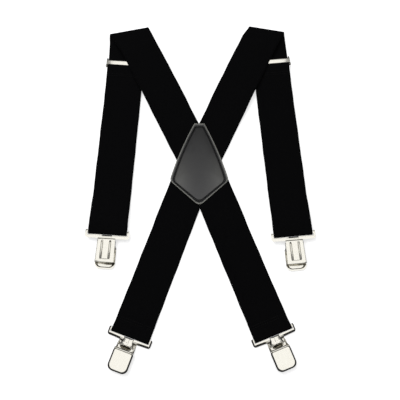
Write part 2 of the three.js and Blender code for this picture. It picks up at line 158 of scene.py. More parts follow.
def ramp(
    tree: Nodes, factor: bpy.types.NodeSocket, *stops: tuple[float, Sequence[float]]
) -> bpy.types.NodeSocket:
    """Adds a colour ramp and returns its colour.

    Args:
        tree: The node tree.
        factor: What drives the ramp.
        *stops: Places from 0 to 1 with their linear colours, the first and the last before those between.

    Returns:
        The ramp's colour socket.
    """
    node = add_node(tree, "ValToRGB", {0: factor})
    stock = node.color_ramp.elements
    for element, (place, colour) in zip((stock[0], stock[1]), stops):
        element.position = place
        element.color = colour
    for place, colour in stops[2:]:
        stock.new(place).color = colour
    return node.outputs[0]


def raised(tree: Nodes, height: bpy.types.NodeSocket, strength: float, depth_mm: float) -> bpy.types.NodeSocket:
    """Adds a bump of a depth in millimetres and returns its normal."""
    node = add_node(tree, "Bump", {"Height": height}, in_Strength=strength, in_Distance=depth_mm * MM)
    return node.outputs[0]


def connect(
    tree: Nodes, shader: bpy.types.Node, links: dict[str, bpy.types.NodeSocket], values: dict[str, object]
) -> None:
    """Feeds some of a shader's sockets and sets others to plain values.

    Args:
        tree: The node tree.
        shader: The shader.
        links: Input name to the socket that feeds it.
        values: Input name to its value.
    """
    for name, source in links.items():
        tree.links.new(source, shader.inputs[name])
    for name, value in values.items():
        shader.inputs[name].default_value = value


@dataclass(frozen=True)
class Finish:
    """A finish that is made into a material once and then shared by its pieces."""

    name: str

    def material(self) -> bpy.types.Material:
        """Makes the material on first use.

        Returns:
            The finish's material.
        """
        found = bpy.data.materials.get(self.name)
        if found:
            return found
        made = bpy.data.materials.new(self.name)
        made.use_nodes = True
        made.node_tree.nodes.clear()
        shader = add_node(made.node_tree, "BsdfPrincipled")
        add_node(made.node_tree, "OutputMaterial", {"Surface": shader.outputs[0]})
        self.weave(made.node_tree, shader)
        return made

    def weave(self, tree: Nodes, shader: bpy.types.Node) -> None:
        """Sets the shader's values and patterns; each finish has its own."""
        raise NotImplementedError


@dataclass(frozen=True)
class ElasticWebbing(Finish):
    """Woven elastic webbing of polyester yarn over rubber threads, black from piece dyeing.

    It looks dead matt and near black. Filling yarns make fine ribs across it, warp ends break each rib into
    small pips, and the selvedges are bound a little tighter and smoother. Its colour carries painted shade:
    darker in the rib valleys and on the flatter selvedges, lighter on the crests.
    """

    name: str = "black woven elastic webbing"
    rib_mm: float = 1.25
    warp_mm: float = 0.9
    selvedge_mm: float = 2.2
    half_mm: float = 25.0

    def weave(self, tree: Nodes, shader: bpy.types.Node) -> None:
        """Draws ribs and warp from the piece's UV map, in metres across and along the webbing."""
        uv = add_node(tree, "UVMap", uv_map="weave")
        split = add_node(tree, "SeparateXYZ", {0: uv.outputs[0]})
        across, along = split.outputs[0], split.outputs[1]
        rib = maths(tree, "SINE", maths(tree, "MULTIPLY", along, 2 * math.pi / (self.rib_mm * MM)))
        rib = maths(tree, "MULTIPLY_ADD", rib, 0.5, 0.5)
        row = maths(tree, "FLOOR", maths(tree, "MULTIPLY", along, 1 / (self.rib_mm * MM)))
        shift = maths(tree, "MULTIPLY", maths(tree, "MODULO", row, 2.0), math.pi)
        ends = maths(tree, "MULTIPLY_ADD", across, 2 * math.pi / (self.warp_mm * MM), shift)
        ends = maths(tree, "MULTIPLY_ADD", maths(tree, "SINE", ends), 0.5, 0.5)
        body_mm = self.half_mm - self.selvedge_mm
        reach = maths(tree, "SUBTRACT", maths(tree, "ABSOLUTE", across), body_mm * MM)
        edge = maths(tree, "GREATER_THAN", reach, 0.0)
        height = maths(tree, "MULTIPLY_ADD", ends, 0.45, maths(tree, "MULTIPLY", rib, 0.55))
        height = maths(tree, "MULTIPLY", height, maths(tree, "MULTIPLY_ADD", edge, -0.6, 1.0))
        fuzz = add_node(tree, "TexNoise", {0: add_node(tree, "TexCoord").outputs["Object"]}, in_Scale=900.0)
        height = maths(tree, "MULTIPLY_ADD", fuzz.outputs[0], 0.35, height)
        bump = raised(tree, height, 0.55, 0.35)
        # Painted shade: the colour follows the weave's height, darker in the rib valleys and on the flatter
        # selvedges, lighter on the crests; the fuzz adds random tone.
        shade = ramp(tree, height, (0.0, linear("#050506")), (1.0, linear("#0c0c0d")))
        plain = {"Roughness": 0.92, "Specular IOR Level": 0.06, "Sheen Weight": 0.03, "Sheen Roughness": 0.3}
        connect(tree, shader, {"Base Color": shade, "Normal": bump}, plain)


@dataclass(frozen=True)
class FinishedLeather(Finish):
    """Corrected-grain cowhide with black dye and a thin acrylic coat plated with a fine grain.

    It has a soft satin gloss that lies in the grain. Light and shade are painted into its colour: a painted
    highlight greys the rolled edge, which is partly a paler edge coat, painted shade darkens the stitched
    groove
    and the top, and a faint painted highlight lightens the lower flanks. A mesh attribute says where:
    above zero lighter, below zero darker.
    """

    name: str = "black finished leather"
    grain_mm: float = 0.9

    def weave(self, tree: Nodes, shader: bpy.types.Node) -> None:
        """Draws the grain as small cells with creases, rubs the finish unevenly, and paints highlights and
        shade into the colour from the mesh attribute.
        """
        place = add_node(tree, "TexCoord").outputs["Object"]
        grains = 1 / (self.grain_mm * MM)
        cells = add_node(tree, "TexVoronoi", {0: place}, feature="DISTANCE_TO_EDGE", in_Scale=grains)
        crease = add_node(tree, "MapRange", {0: cells.outputs["Distance"]}, in_2=0.22)
        pores = add_node(tree, "TexNoise", {0: place}, in_Scale=2600.0, in_Detail=3.0)
        height = maths(tree, "MULTIPLY_ADD", pores.outputs[0], 0.25, crease.outputs[0])
        bump = raised(tree, height, 0.22, 0.12)
        rub = add_node(tree, "TexNoise", {0: place}, in_Scale=55.0, in_Detail=4.0, in_Roughness=0.6)
        tone = ramp(tree, rub.outputs[0], (0.3, linear("#151516")), (0.75, linear("#202021")))
        gloss = add_node(tree, "MapRange", {0: rub.outputs[0]}, in_3=0.3, in_4=0.4)
        # Painted light from the mesh attribute: positive values grey the colour as a painted highlight, partly
        # the rolled edge's coat; negative values darken it as painted shade.
        edge_coat_and_painted_highlight = add_node(tree, "Attribute", attribute_name="wear").outputs["Fac"]
        painted_shade = maths(tree, "MULTIPLY", edge_coat_and_painted_highlight, -1.0)
        for share, colour in ((edge_coat_and_painted_highlight, "#a3a39a"), (painted_shade, "#030303")):
            tone = add_node(tree, "Mix", {0: share, 6: tone}, data_type="RGBA", in_7=linear(colour)).outputs[2]
        feeds = {"Base Color": tone, "Roughness": gloss.outputs[0], "Normal": bump}
        connect(tree, shader, feeds, {"Specular IOR Level": 0.9})


@dataclass(frozen=True)
class BondedThread(Finish):
    """Bonded polyester sewing thread, black: twisted plies with a slight waxy gloss."""

    name: str = "black bonded thread"
    ply_mm: float = 0.5

    def weave(self, tree: Nodes, shader: bpy.types.Node) -> None:
        """Draws the plies as slanting bands."""
        place = add_node(tree, "TexCoord").outputs["Object"]
        bands = 1 / (self.ply_mm * MM) / 6
        plies = add_node(tree, "TexWave", {0: place}, bands_direction="DIAGONAL", in_Scale=bands).outputs["Fac"]
        bump = raised(tree, plies, 0.5, 0.1)
        tone = ramp(tree, plies, (0.0, linear("#070707")), (1.0, linear("#161616")))
        plain = {"Roughness": 0.6, "Specular IOR Level": 0.12}
        connect(tree, shader, {"Base Color": tone, "Normal": bump}, plain)


@dataclass(frozen=True)
class NickelPlate(Finish):
    """Bright nickel plated over pressed steel strip.

    It mirrors what is round it with a warm tint. The plating follows the strip's slight waviness, and barrel
    polishing leaves it with fine random scratches.
    """

    name: str = "bright nickel plate"
    tint: str = "#efece3"
    roughness: float = 0.13
    wave_mm: float = 4.0

    def weave(self, tree: Nodes, shader: bpy.types.Node) -> None:
        """Draws the waviness, the scratches and a faint unevenness of the tint."""
        place = add_node(tree, "TexCoord").outputs["Object"]
        wave = add_node(tree, "TexNoise", {0: place}, in_Scale=1 / (self.wave_mm * MM), in_Detail=1.0)
        fine = add_node(tree, "TexNoise", {0: place}, in_Scale=1400.0, in_Detail=5.0, in_Roughness=0.7)
        height = maths(tree, "MULTIPLY_ADD", fine.outputs[0], 0.05, wave.outputs[0])
        bump = raised(tree, height, 0.25, 0.05)
        least, most = self.roughness * 0.7, self.roughness * 1.5
        dull = add_node(tree, "MapRange", {0: fine.outputs[0]}, in_3=least, in_4=most)
        red, green, blue, _ = linear(self.tint)
        darker = (red * 0.94, green * 0.94, blue * 0.92, 1.0)
        tone = ramp(tree, wave.outputs[0], (0.0, darker), (1.0, (red, green, blue, 1.0)))
        feeds = {"Base Color": tone, "Roughness": dull.outputs[0], "Normal": bump}
        connect(tree, shader, feeds, {"Metallic": 1.0})


@dataclass(frozen=True)
class MouldedNylon(Finish):
    """Injection-moulded nylon, black: a fine spark-eroded texture with a low even gloss."""

    name: str = "black moulded nylon"
    grit_mm: float = 0.3

    def weave(self, tree: Nodes, shader: bpy.types.Node) -> None:
        """Draws the mould's texture and a slight unevenness of its gloss."""
        place = add_node(tree, "TexCoord").outputs["Object"]
        grit = add_node(tree, "TexNoise", {0: place}, in_Scale=1 / (self.grit_mm * MM), in_Detail=3.0)
        bump = raised(tree, grit.outputs[0], 0.2, 0.06)
        tone = ramp(tree, grit.outputs[0], (0.0, linear("#151516")), (1.0, linear("#1f1f20")))
        gloss = add_node(tree, "MapRange", {0: grit.outputs[0]}, in_3=0.42, in_4=0.58)
        connect(tree, shader, {"Base Color": tone, "Roughness": gloss.outputs[0], "Normal": bump}, {})


@dataclass(frozen=True)
class PaperSweep(Finish):
    """Matt white background paper, lit to plain white."""

    name: str = "white paper sweep"
    glow: float = 0.62

    def weave(self, tree: Nodes, shader: bpy.types.Node) -> None:
        """Sets plain matt white with the glow of a lit sweep."""
        paper = {"Base Color": linear("#ececec"), "Roughness": 1.0, "Specular IOR Level": 0.0}
        lit = {"Emission Color": linear("#ffffff"), "Emission Strength": self.glow}
        connect(tree, shader, {}, paper | lit)


WEBBING = ElasticWebbing()
LEATHER = FinishedLeather()
THREAD = BondedThread()
NICKEL = NickelPlate()
NYLON = MouldedNylon()
PAPER = PaperSweep()


def dress(piece: bpy.types.Object, finish: Finish) -> None:
    """Gives a piece its finish."""
    piece.data.materials.clear()
    piece.data.materials.append(finish.material())


# ---- Webbing ----


@dataclass(frozen=True)
class CrossLine:
    """One line across the webbing: its middle, and the vector from there to the left edge, in millimetres."""

    middle: Vector
    edge: Vector


Heights = Sequence[tuple[float, float]]


def eased(distance: float, heights: Heights) -> float:
    """Gives a height that runs smoothly through (distance, height) pairs.

    Args:
        distance: How far along.
        heights: The pairs, in order of distance.

    Returns:
        The height there.
    """
    if distance <= heights[0][0]:
        return heights[0][1]
    for (start, low), (end, high) in zip(heights, heights[1:]):
        if distance <= end:
            share = (distance - start) / (end - start)
            return low + (high - low) * share * share * (3 - 2 * share)
    return heights[-1][1]


@dataclass(frozen=True)
class WebbingSize:
    """Sizes that all the webbing shares, in millimetres, and the heights that its layers lie at."""

    width: float = 50.0
    thick: float = 1.6
    air: float = 0.3
    floor_gap: float = 0.25
    bar_loop: float = 2.4
    floor: float = 1.05
    front: float = 2.65
    back_bar: float = 3.45
    front_bar: float = 7.55
    over_adjuster: float = 10.45
    fold_top: float = 9.25
    knee: float = 31.0
    sewn: float = 22.0
    adjuster_at: float = 50.4
    hem: float = 23.0
    loop_leg: float = 12.0
    rod_y: float = -6.5
    rod_z: float = -3.8
    rod_r: float = 0.8

    @property
    def layer(self) -> float:
        """Height from one layer to the next."""
        return self.thick + self.air


WEB = WebbingSize()


@dataclass(frozen=True)
class StrapPlan:
    """One strap's plan: leans in degrees from the Y axis, and lengths along its middle in millimetres."""

    name: str
    side: int
    upper_lean: float
    upper: float
    lower_lean: float
    lower: float
    front_lean: float
    front: float
    cross_height: float
    back_clip: str
    crossing: Vector

    def heading(self, lean: float, side: int, up: int) -> Vector:
        """A unit direction in plan that leans sideways from +Y or from -Y."""
        angle = math.radians(lean)
        return Vector((side * math.sin(angle), up * math.cos(angle), 0.0))

    @property
    def up(self) -> Vector:
        """Direction from the crossing to the shoulder."""
        return self.heading(self.upper_lean, self.side, 1)

    @property
    def down(self) -> Vector:
        """Direction from the knee to the back clip."""
        return self.heading(self.lower_lean, -self.side, -1)

    @property
    def ahead(self) -> Vector:
        """Direction from the shoulder fold to the front clip."""
        return self.heading(self.front_lean, self.side, -1)

    @property
    def fold(self) -> Vector:
        """Middle of the shoulder fold, in plan."""
        return self.crossing + self.up * self.upper

    @property
    def knee_at(self) -> Vector:
        """Where the strap turns inwards under the patch."""
        return self.crossing - self.up * WEB.knee

    @property
    def back_bar(self) -> Vector:
        """Middle of the back clip's bar, in plan."""
        return self.knee_at + self.down * self.lower

    @property
    def front_bar(self) -> Vector:
        """Middle of the front clip's bar, in plan."""
        return self.fold + self.ahead * self.front


def edge_of(direction: Vector) -> Vector:
    """The vector from the webbing's middle to its left edge when it runs along a direction."""
    return Vector((-direction.y, direction.x, 0.0)) * (WEB.width / 2)


def leg(
    start: Vector,
    direction: Vector,
    edge: Vector,
    first: float,
    last: float,
    heights: Heights,
    step: float = 4.0,
) -> list[CrossLine]:
    """Lays cross lines along a straight leg of webbing.

    Args:
        start: Where distances are counted from.
        direction: The leg's direction in plan.
        edge: The half-width vector of its cross lines.
        first: Distance of the first cross line.
        last: Distance of the last one.
        heights: Pairs of distance and height of the webbing's middle.
        step: About how far apart the cross lines are.

    Returns:
        The cross lines in order.
    """
    count = max(1, round(abs(last - first) / step))
    lines = []
    for i in range(count + 1):
        distance = first + (last - first) * i / count
        middle = start + direction * distance
        middle.z = eased(distance, heights)
        lines.append(CrossLine(middle, edge))
    return lines


def turn(
    centre: Vector, direction: Vector, edge: Vector, radius: float, from_below: bool, count: int = 14
) -> list[CrossLine]:
    """Lays cross lines half a turn round a bar.

    Args:
        centre: A point on the bar's axis.
        direction: The side of the bar that the webbing passes.
        edge: The half-width vector.
        radius: Radius of the webbing's middle.
        from_below: Whether it comes from under the bar.
        count: Steps in the half turn.

    Returns:
        The cross lines between the two ends of the turn.
    """
    lines = []
    for i in range(1, count):
        angle = math.pi * i / count
        middle = centre + direction * (radius * math.sin(angle))
        middle.z += (-1 if from_below else 1) * radius * math.cos(angle)
        lines.append(CrossLine(middle, edge))
    return lines


@dataclass
class Ribbon:
    """A closed length of webbing with rounded selvedges and a UV map in metres."""

    name: str
    lines: list[CrossLine]
    columns: int = 14
    wander_mm: float = 0.16

    length: float = field(default=0.0, init=False)

    def section(self) -> list[tuple[float, float, float]]:
        """The outline of a cut across the webbing: place across, height, and place across for the UV map."""
        half, radius = WEB.width / 2, WEB.thick / 2
        flat = [half - radius - (WEB.width - 2 * radius) * i / self.columns for i in range(self.columns + 1)]
        right = [math.radians(a) for a in (60, 25, -25, -60)]
        outline = [(a, radius, a) for a in flat]
        outline += [(-half + radius - radius * math.cos(b), radius * math.sin(b), -half) for b in right]
        outline += [(a, -radius, a) for a in reversed(flat)]
        outline += [(half - radius + radius * math.cos(b), -radius * math.sin(b), half) for b in right]
        return outline

    def build(self) -> bpy.types.Object:
        """Builds the ribbon's mesh through its cross lines.

        Returns:
            The webbing as a closed mesh at its place, in metres.
        """
        section = self.section()
        size = len(section)
        points: list[Vector] = []
        places: list[tuple[float, float]] = []
        travelled = 0.0
        for i, line in enumerate(self.lines):
            before = self.lines[max(0, i - 1)].middle
            after = self.lines[min(len(self.lines) - 1, i + 1)].middle
            if i:
                travelled += (line.middle - before).length
            ahead = (after - before).normalized()
            out = ahead.cross(line.edge).normalized()
            skew = line.edge.dot(ahead)
            sway = self.wander_mm * (math.sin(travelled / 9.3) + 0.6 * math.sin(travelled / 4.1 + 1.3))
            for across, height, spot in section:
                share = across / (WEB.width / 2)
                lean = sway * abs(share) ** 6 * (1 if share > 0 else -0.8)
                step = line.edge * (share + lean / (WEB.width / 2))
                points.append((line.middle + step + out * height) * MM)
                places.append((spot * MM, (travelled + skew * share) * MM))
        self.length = travelled * MM
        last = size * (len(self.lines) - 1)
        ends = [tuple(range(size))[::-1], tuple(range(last, last + size))]
        mesh = bpy.data.meshes.new(self.name)
        mesh.from_pydata(points, [], ends + skin(len(self.lines), size))
        mesh.update()
        layer = mesh.uv_layers.new(name="weave")
        for loop in mesh.loops:
            layer.data[loop.index].uv = places[loop.vertex_index]
        piece = settle(mesh, 50)
        dress(piece, WEBBING)
        return piece


def select_only(piece: bpy.types.Object, *others: bpy.types.Object) -> None:
    """Selects pieces and nothing else, and makes the first the active one."""
    bpy.ops.object.select_all(action="DESELECT")
    for one in (piece, *others):
        one.select_set(True)
    bpy.context.view_layer.objects.active = piece


def face_outwards(piece: bpy.types.Object) -> None:
    """Turns a closed piece's faces outwards."""
    mesh = bmesh.new()
    mesh.from_mesh(piece.data)
    bmesh.ops.recalc_face_normals(mesh, faces=mesh.faces)
    mesh.to_mesh(piece.data)
    mesh.free()


def smooth(piece: bpy.types.Object, degrees: float) -> None:
    """Shades a piece smooth, but for edges sharper than an angle."""
    select_only(piece)
    bpy.ops.object.shade_smooth_by_angle(angle=math.radians(degrees))


def settle(mesh: bpy.types.Mesh, degrees: float) -> bpy.types.Object:
    """Puts a closed mesh in the scene as a piece of the same name.

    Args:
        mesh: The mesh, at its place and in metres.
        degrees: Edges sharper than this stay sharp.

    Returns:
        The piece, faced outwards and shaded.
    """
    piece = bpy.data.objects.new(mesh.name, mesh)
    bpy.context.scene.collection.objects.link(piece)
    face_outwards(piece)
    smooth(piece, degrees)
    return piece


def skin(rings: int, size: int) -> list[tuple[int, ...]]:
    """Faces between rings of points.

    Args:
        rings: How many rings.
        size: Points in each ring.

    Returns:
        The four-sided faces that join each ring to the next.
    """
    faces = []
    for i in range(rings - 1):
        for k in range(size):
            here, beside = size * i + k, size * i + (k + 1) % size
            faces.append((here, beside, beside + size, here + size))
    return faces


@dataclass
class Strap:
    """One strap with its front leg: five lengths of webbing, and the seams that hold them."""

    plan: StrapPlan
    seam_pitch: float = 2.6
    stitch: float = 1.9
    row_share: float = 0.93
    splay: float = 2.6

    def back_and_diagonal(self) -> list[CrossLine]:
        """Cross lines from the sewn hem at the back clip to the shoulder fold and on to the adjuster."""
        plan = self.plan
        home = -plan.down
        edge_down, edge_up, edge_ahead = edge_of(plan.down) * -1, edge_of(plan.up), edge_of(plan.ahead) * -1
        doubled = WEB.floor + WEB.layer
        bar_top = WEB.back_bar + WEB.bar_loop
        lower = [
            (0.0, bar_top),
            (WEB.sewn - 8, doubled),
            (WEB.sewn + 3, doubled),
            (WEB.sewn + 20, WEB.floor),
            (plan.lower - 82, WEB.floor),
            (plan.lower - 40, plan.cross_height),
        ]
        lines = leg(plan.back_bar, home, edge_down, WEB.sewn, 1, [(0.0, WEB.floor)])
        centre = plan.back_bar.copy()
        centre.z = WEB.back_bar
        lines += turn(centre, plan.down, edge_down, WEB.bar_loop, True)
        lines += leg(plan.back_bar, home, edge_down, 1, plan.lower - 20, lower)
        swing = 20.0
        for i in range(1, 10):
            share = i / 10
            before = plan.knee_at + plan.down * (swing * (1 - share))
            after = plan.knee_at + plan.up * (swing * share)
            middle = before.lerp(after, share)
            middle.z = plan.cross_height
            edge = edge_down.lerp(edge_up, share).normalized() * (WEB.width / 2)
            lines.append(CrossLine(middle, edge))
        upper = [
            (62.0, plan.cross_height),
            (plan.upper - 101, WEB.over_adjuster),
            (plan.upper - 30, WEB.over_adjuster),
            (plan.upper - 12, WEB.fold_top),
        ]
        lines += leg(plan.crossing, plan.up, edge_up, swing - WEB.knee, plan.upper - 26, upper)
        lines += self.shoulder_fold(edge_up)
        for line in leg(plan.fold, plan.ahead, edge_ahead, 22, WEB.adjuster_at, [(0.0, WEB.front)]):
            share = 1 - ((line.middle - plan.fold).dot(plan.ahead)) / WEB.adjuster_at
            outwards = Vector((plan.side * self.splay / 2 * share, 0, 0))
            drawn = math.copysign(outwards.length, line.edge.dot(outwards))
            widened = line.edge + line.edge.normalized() * drawn
            lines.append(CrossLine(line.middle + outwards, widened))
        return lines

    def shoulder_fold(self, edge_up: Vector) -> list[CrossLine]:
        """Half a turn about a line that lies askew to the webbing, so its cross lines lie along that line."""
        plan = self.plan
        crease = (plan.up + plan.ahead).normalized()
        outwards = (plan.up - crease * plan.up.dot(crease)).normalized()
        radius = (WEB.fold_top - WEB.front) / 2
        slope = plan.up.dot(crease) / plan.up.dot(outwards)
        skew = crease * (WEB.width / 2 / crease.dot(edge_up.normalized()))
        splay = skew.normalized() * math.copysign(self.splay / 2, skew.dot(crease))
        start = plan.fold - plan.up * (math.pi * radius / 2 / plan.up.dot(outwards))
        steps = 18
        lines = []
        for i in range(steps + 1):
            angle = math.pi * i / steps
            middle = start + outwards * (radius * math.sin(angle))
            middle += crease * (radius * angle * slope + self.splay / 2)
            middle.z = WEB.front + radius * (1 + math.cos(angle))
            lines.append(CrossLine(middle, skew + splay))
        return lines

    def front_heights(self) -> tuple[Heights, Heights]:
        """Heights of the main layer and of the returned layer of the front leg, by distance from the fold."""
        front = self.plan.front
        returned = WEB.front + WEB.layer
        hem_end = WEB.adjuster_at + WEB.hem
        low, high = WEB.front_bar - WEB.bar_loop, WEB.front_bar + WEB.bar_loop
        main = [(front - 60, WEB.front), (front - 8, low)]
        back = [(hem_end, returned + WEB.layer), (hem_end + 16, returned)]
        back += [(front - 60, returned), (front - 8, high)]
        return main, back

    def build(self) -> None:
        plan, name = self.plan, self.plan.name
        edge = edge_of(plan.ahead) * -1
        main, back = self.front_heights()
        loop_at = plan.front - WEB.loop_leg
        bar = plan.front_bar.copy()
        bar.z = WEB.front_bar
        hem_end = WEB.adjuster_at + WEB.hem
        loop_lines = leg(plan.fold, plan.ahead, edge, loop_at, plan.front - 1, main)
        loop_lines += turn(bar, plan.ahead, edge, WEB.bar_loop, True)
        loop_lines += leg(plan.fold, plan.ahead, edge, plan.front - 1, loop_at, back)
        rod_at = WEB.adjuster_at - WEB.rod_y
        rod_height = WEB.front - WEB.rod_z
        rod_turn = WEB.rod_r + WEB.air + WEB.thick / 2
        rod = plan.fold + plan.ahead * rod_at
        rod.z = rod_height
        returned = WEB.front + WEB.layer
        hem_top = [(rod_at + 1, rod_height + rod_turn), (hem_end - 6, returned + WEB.layer)]
        hem_lines = leg(plan.fold, plan.ahead, edge, hem_end, rod_at + 0.5, hem_top, 2)
        hem_lines += turn(rod, -plan.ahead, edge, rod_turn, False)
        under_rod = [(0.0, rod_height - rod_turn)]
        hem_lines += leg(plan.fold, plan.ahead, edge, rod_at + 0.5, hem_end, under_rod)
        front_web = leg(plan.fold, plan.ahead, edge, WEB.adjuster_at, loop_at, main)
        return_web = leg(plan.fold, plan.ahead, edge, loop_at, hem_end, back)

        strap = self.length_of(f"{name}_strap_webbing", self.back_and_diagonal(), [f"{name}_strap"])
        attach(strap, "straps")
        loop = self.length_of(f"{name}_loop_webbing", loop_lines, [f"{name}_clip_loop"])
        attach(loop, f"front_{name}_loop")
        hem = self.length_of(f"{name}_hem_webbing", hem_lines, [f"{name}_return_hem"])
        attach(hem, f"{name}_adjuster")
        top = (plan.fold + plan.ahead * WEB.adjuster_at) * MM
        low = (plan.fold + plan.ahead * loop_at) * MM
        main_web = self.length_of(f"{name}_front_webbing", front_web, [f"{name}_front_web"])
        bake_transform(main_web)
        back_web = self.length_of(f"{name}_return_webbing", return_web, [f"{name}_return_web"])
        high = (plan.fold + plan.ahead * hem_end) * MM
        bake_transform(back_web)
        self.sew_hems(hem_end)

    def sew_hems(self, hem_end: float) -> None:
        """Sews two rows of stitches across each hem, on the side that shows."""
        plan = self.plan
        back = (plan.back_bar, -plan.down, edge_of(plan.down), (14.6, 17.6), WEB.floor + WEB.layer)
        fold_side = (hem_end - 2.2, hem_end - 5.2)
        front = (plan.fold, plan.ahead, edge_of(plan.ahead), fold_side, WEB.front + 2 * WEB.layer)
        for end, rows, body in (("back", back, "straps"), ("front", front, f"{plan.name}_adjuster")):
            seam = Seam(f"{plan.name}_{end}_hem_stitches", self.seam_pitch, self.stitch)
            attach(seam.run(*self.rows(*rows)), body)

    def rows(
        self, start: Vector, along: Vector, edge: Vector, distances: Sequence[float], height: float
    ) -> list[list[Vector]]:
        """The ends of rows of stitches straight across the webbing.

        Args:
            start: Where distances are counted from.
            along: The webbing's direction in plan.
            edge: The vector from its middle to its edge.
            distances: How far along each row lies.
            height: Height of the webbing's middle there.

        Returns:
            Two points for each row.
        """
        reach = edge * -self.row_share
        found = []
        for distance in distances:
            middle = start + along * distance
            middle.z = height + WEB.thick / 2 + 0.05
            found.append([middle - reach, middle + reach])
        return found

    def length_of(self, name: str, lines: list[CrossLine], nodes: Iterable[str]) -> bpy.types.Object:
        """Builds one length of webbing.

        Args:
            name: The piece's name.
            lines: Its cross lines.
            nodes: The CAD nodes that it stands for.

        Returns:
            The piece.
        """
        ribbon = Ribbon(name, lines)
        piece = ribbon.build()
        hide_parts(*nodes)
        LOG.info("%s: webbing %.0f mm long", name, ribbon.length / MM)
        return piece


# ---- Patch ----


@dataclass
class Patch:
    """The two leathers sewn over the crossing: a bent-sided kite, stitched in a groove inside its edge."""

    crossing: Vector
    top_y: float = 56.2
    top_half: float = 6.9
    side_y: float = 19.4
    wide_y: float = -21.0
    wide_half: float = 38.4
    tip_y: float = -57.0
    back: float = 1.2
    face: float = 1.8
    seam: float = 4.35
    pitch: float = 2.55

    def kite(self, margin: float) -> list[Vector]:
        """The kite's outline, drawn in by a margin, with as many points whatever the margin is."""
        top, tip = self.top_y - margin, self.tip_y + margin * 1.15
        half, wide, bulge = self.top_half - margin * 0.45, self.wide_half - margin * 1.05, 26 - margin
        corner, shoulder = (wide - 2.3, self.wide_y - 6), (wide - 0.9, self.wide_y + 2.5)
        right = self.bend((half, top), (bulge, self.side_y), shoulder, 26)
        right += self.bend(shoulder, (wide + 0.9, self.wide_y - 2), corner, 7)
        right += self.bend(corner, ((corner[0] + 5) / 2, (corner[1] + tip + 2.2) / 2), (5, tip + 2.2), 16)
        right += self.bend((5, tip + 2.2), (2.6, tip + 0.4), (0, tip + 0.3), 4)
        right.append(Vector((0, tip + 0.3)))
        left = [Vector((-p.x, p.y)) for p in reversed(right[:-1])]
        return right + left + [Vector((half * k / 3, top)) for k in (-2, -1, 0, 1, 2)]

    def bend(
        self, start: tuple[float, float], pull: tuple[float, float], end: tuple[float, float], count: int
    ) -> list[Vector]:
        """Points along a curve from a start towards an end, without the end."""
        a, b, c = Vector(start), Vector(pull), Vector(end)
        return [a * (1 - t) ** 2 + b * 2 * t * (1 - t) + c * t * t for t in (i / count for i in range(count))]

    def leather(
        self, name: str, profile: Sequence[tuple[float, float]], crown: float, low: float
    ) -> bpy.types.Object:
        """Builds one leather.

        Args:
            name: The piece's name.
            profile: Margins and heights from the underside's edge over the rim to the panel.
            crown: How far the panel rises towards its middle.
            low: Height of the underside.

        Returns:
            The leather as a closed mesh at its place, in metres.
        """
        middle = Vector((0, -6))
        rings = [(self.kite(profile[0][0]), share, low) for share in (0.2, 0.5, 0.8)]
        rings = [([middle + (p - middle) * share for p in ring], height) for ring, share, height in rings]
        rings += [(self.kite(margin), height) for margin, height in profile]
        panel, level = rings[-1]
        for share in (0.94, 0.85, 0.7, 0.5, 0.3, 0.12):
            rings.append(([middle + (p - middle) * share for p in panel], level + crown * (1 - share**3)))
        size = len(panel)
        points = [(self.crossing + Vector((p.x, p.y, z))) * MM for ring, z in rings for p in ring]
        under, over = len(points), len(points) + 1
        points.append((self.crossing + Vector((middle.x, middle.y, low))) * MM)
        points.append((self.crossing + Vector((middle.x, middle.y, level + crown))) * MM)
        last = size * (len(rings) - 1)
        caps = [(under, k, (k + 1) % size) for k in range(size)]
        caps += [(over, last + (k + 1) % size, last + k) for k in range(size)]
        mesh = bpy.data.meshes.new(name)
        mesh.from_pydata(points, [], caps + skin(len(rings), size))
        mesh.update()
        piece = settle(mesh, 80)
        # Per-point values for the leather's painted highlight and painted shade, and the rolled edge's coat.
        layer = mesh.attributes.new("wear", "FLOAT", "POINT")
        for i, point in enumerate(points[:under]):
            place = point / MM - self.crossing
            margin = profile[i // size - 3][0] if 3 <= i // size < len(profile) + 3 else 10.0
            layer.data[i].value = self.wear(margin, place)
        layer.data[over].value = self.wear(10.0, Vector((0, -6, 0)))
        dress(piece, LEATHER)
        return piece

    def wear(self, margin: float, place: Vector) -> float:
        """Where light and shade are painted on the leather: a painted highlight, partly an edge coat, on the
        rolled edge, painted shade in the groove and towards the top, and a faint painted highlight on the lower
        flanks.
        """
        if margin <= 1.45:
            return 0.5
        if margin < 3.5:
            return 0.0
        if margin < 5.2:
            return -0.7
        # Painted highlight on the lower flanks and painted shade towards the top.
        flank = min(1.0, (place.x / 24) ** 2) * min(1.0, max(0.0, (24 - place.y) / 40))
        top = min(1.0, max(0.0, (place.y - 14) / 36))
        return 0.11 * flank - 0.75 * top

    def build(self, low: float) -> None:
        """Builds both leathers and their stitches.

        Args:
            low: Height of the under leather's underside.
        """
        outline = [p * MM for p in self.kite(0)]
        top = low + self.back
        back_profile = [(1.2, low), (0.4, low + 0.05), (0.0, low + 0.45)]
        back_profile += [(0.0, low + 0.8), (0.5, top), (2.5, top)]
        back = self.leather("patch_under_leather", back_profile, 0.0, low)
        face_low = top + 2 * WEB.layer
        high = face_low + self.face
        rim = [(0.8, face_low), (0.2, face_low + 0.15), (0.0, face_low + 0.6), (0.15, face_low + 1.2)]
        rim += [(0.5, high - 0.12), (0.9, high), (1.4, high - 0.03), (1.9, high - 0.14), (2.6, high - 0.16)]
        groove = [(3.3, high - 0.3), (3.75, high - 0.85), (self.seam, high - 1.05), (4.95, high - 0.85)]
        panel = [(5.3, high - 0.45), (5.8, high - 0.12), (6.6, high)]
        face = self.leather("patch_over_leather", rim + groove + panel, 1.3, face_low)
        for piece, node in ((back, "patch_back"), (face, "patch_face")):
            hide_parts(node)
            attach(piece, "straps")
        path = [self.crossing + Vector((p.x, p.y, high - 0.8)) for p in self.kite(self.seam)]
        seam = Seam("patch_stitches", self.pitch, 1.75)
        piece = seam.run(path + path[:1])
        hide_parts("patch_stitching")
        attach(piece, "straps")


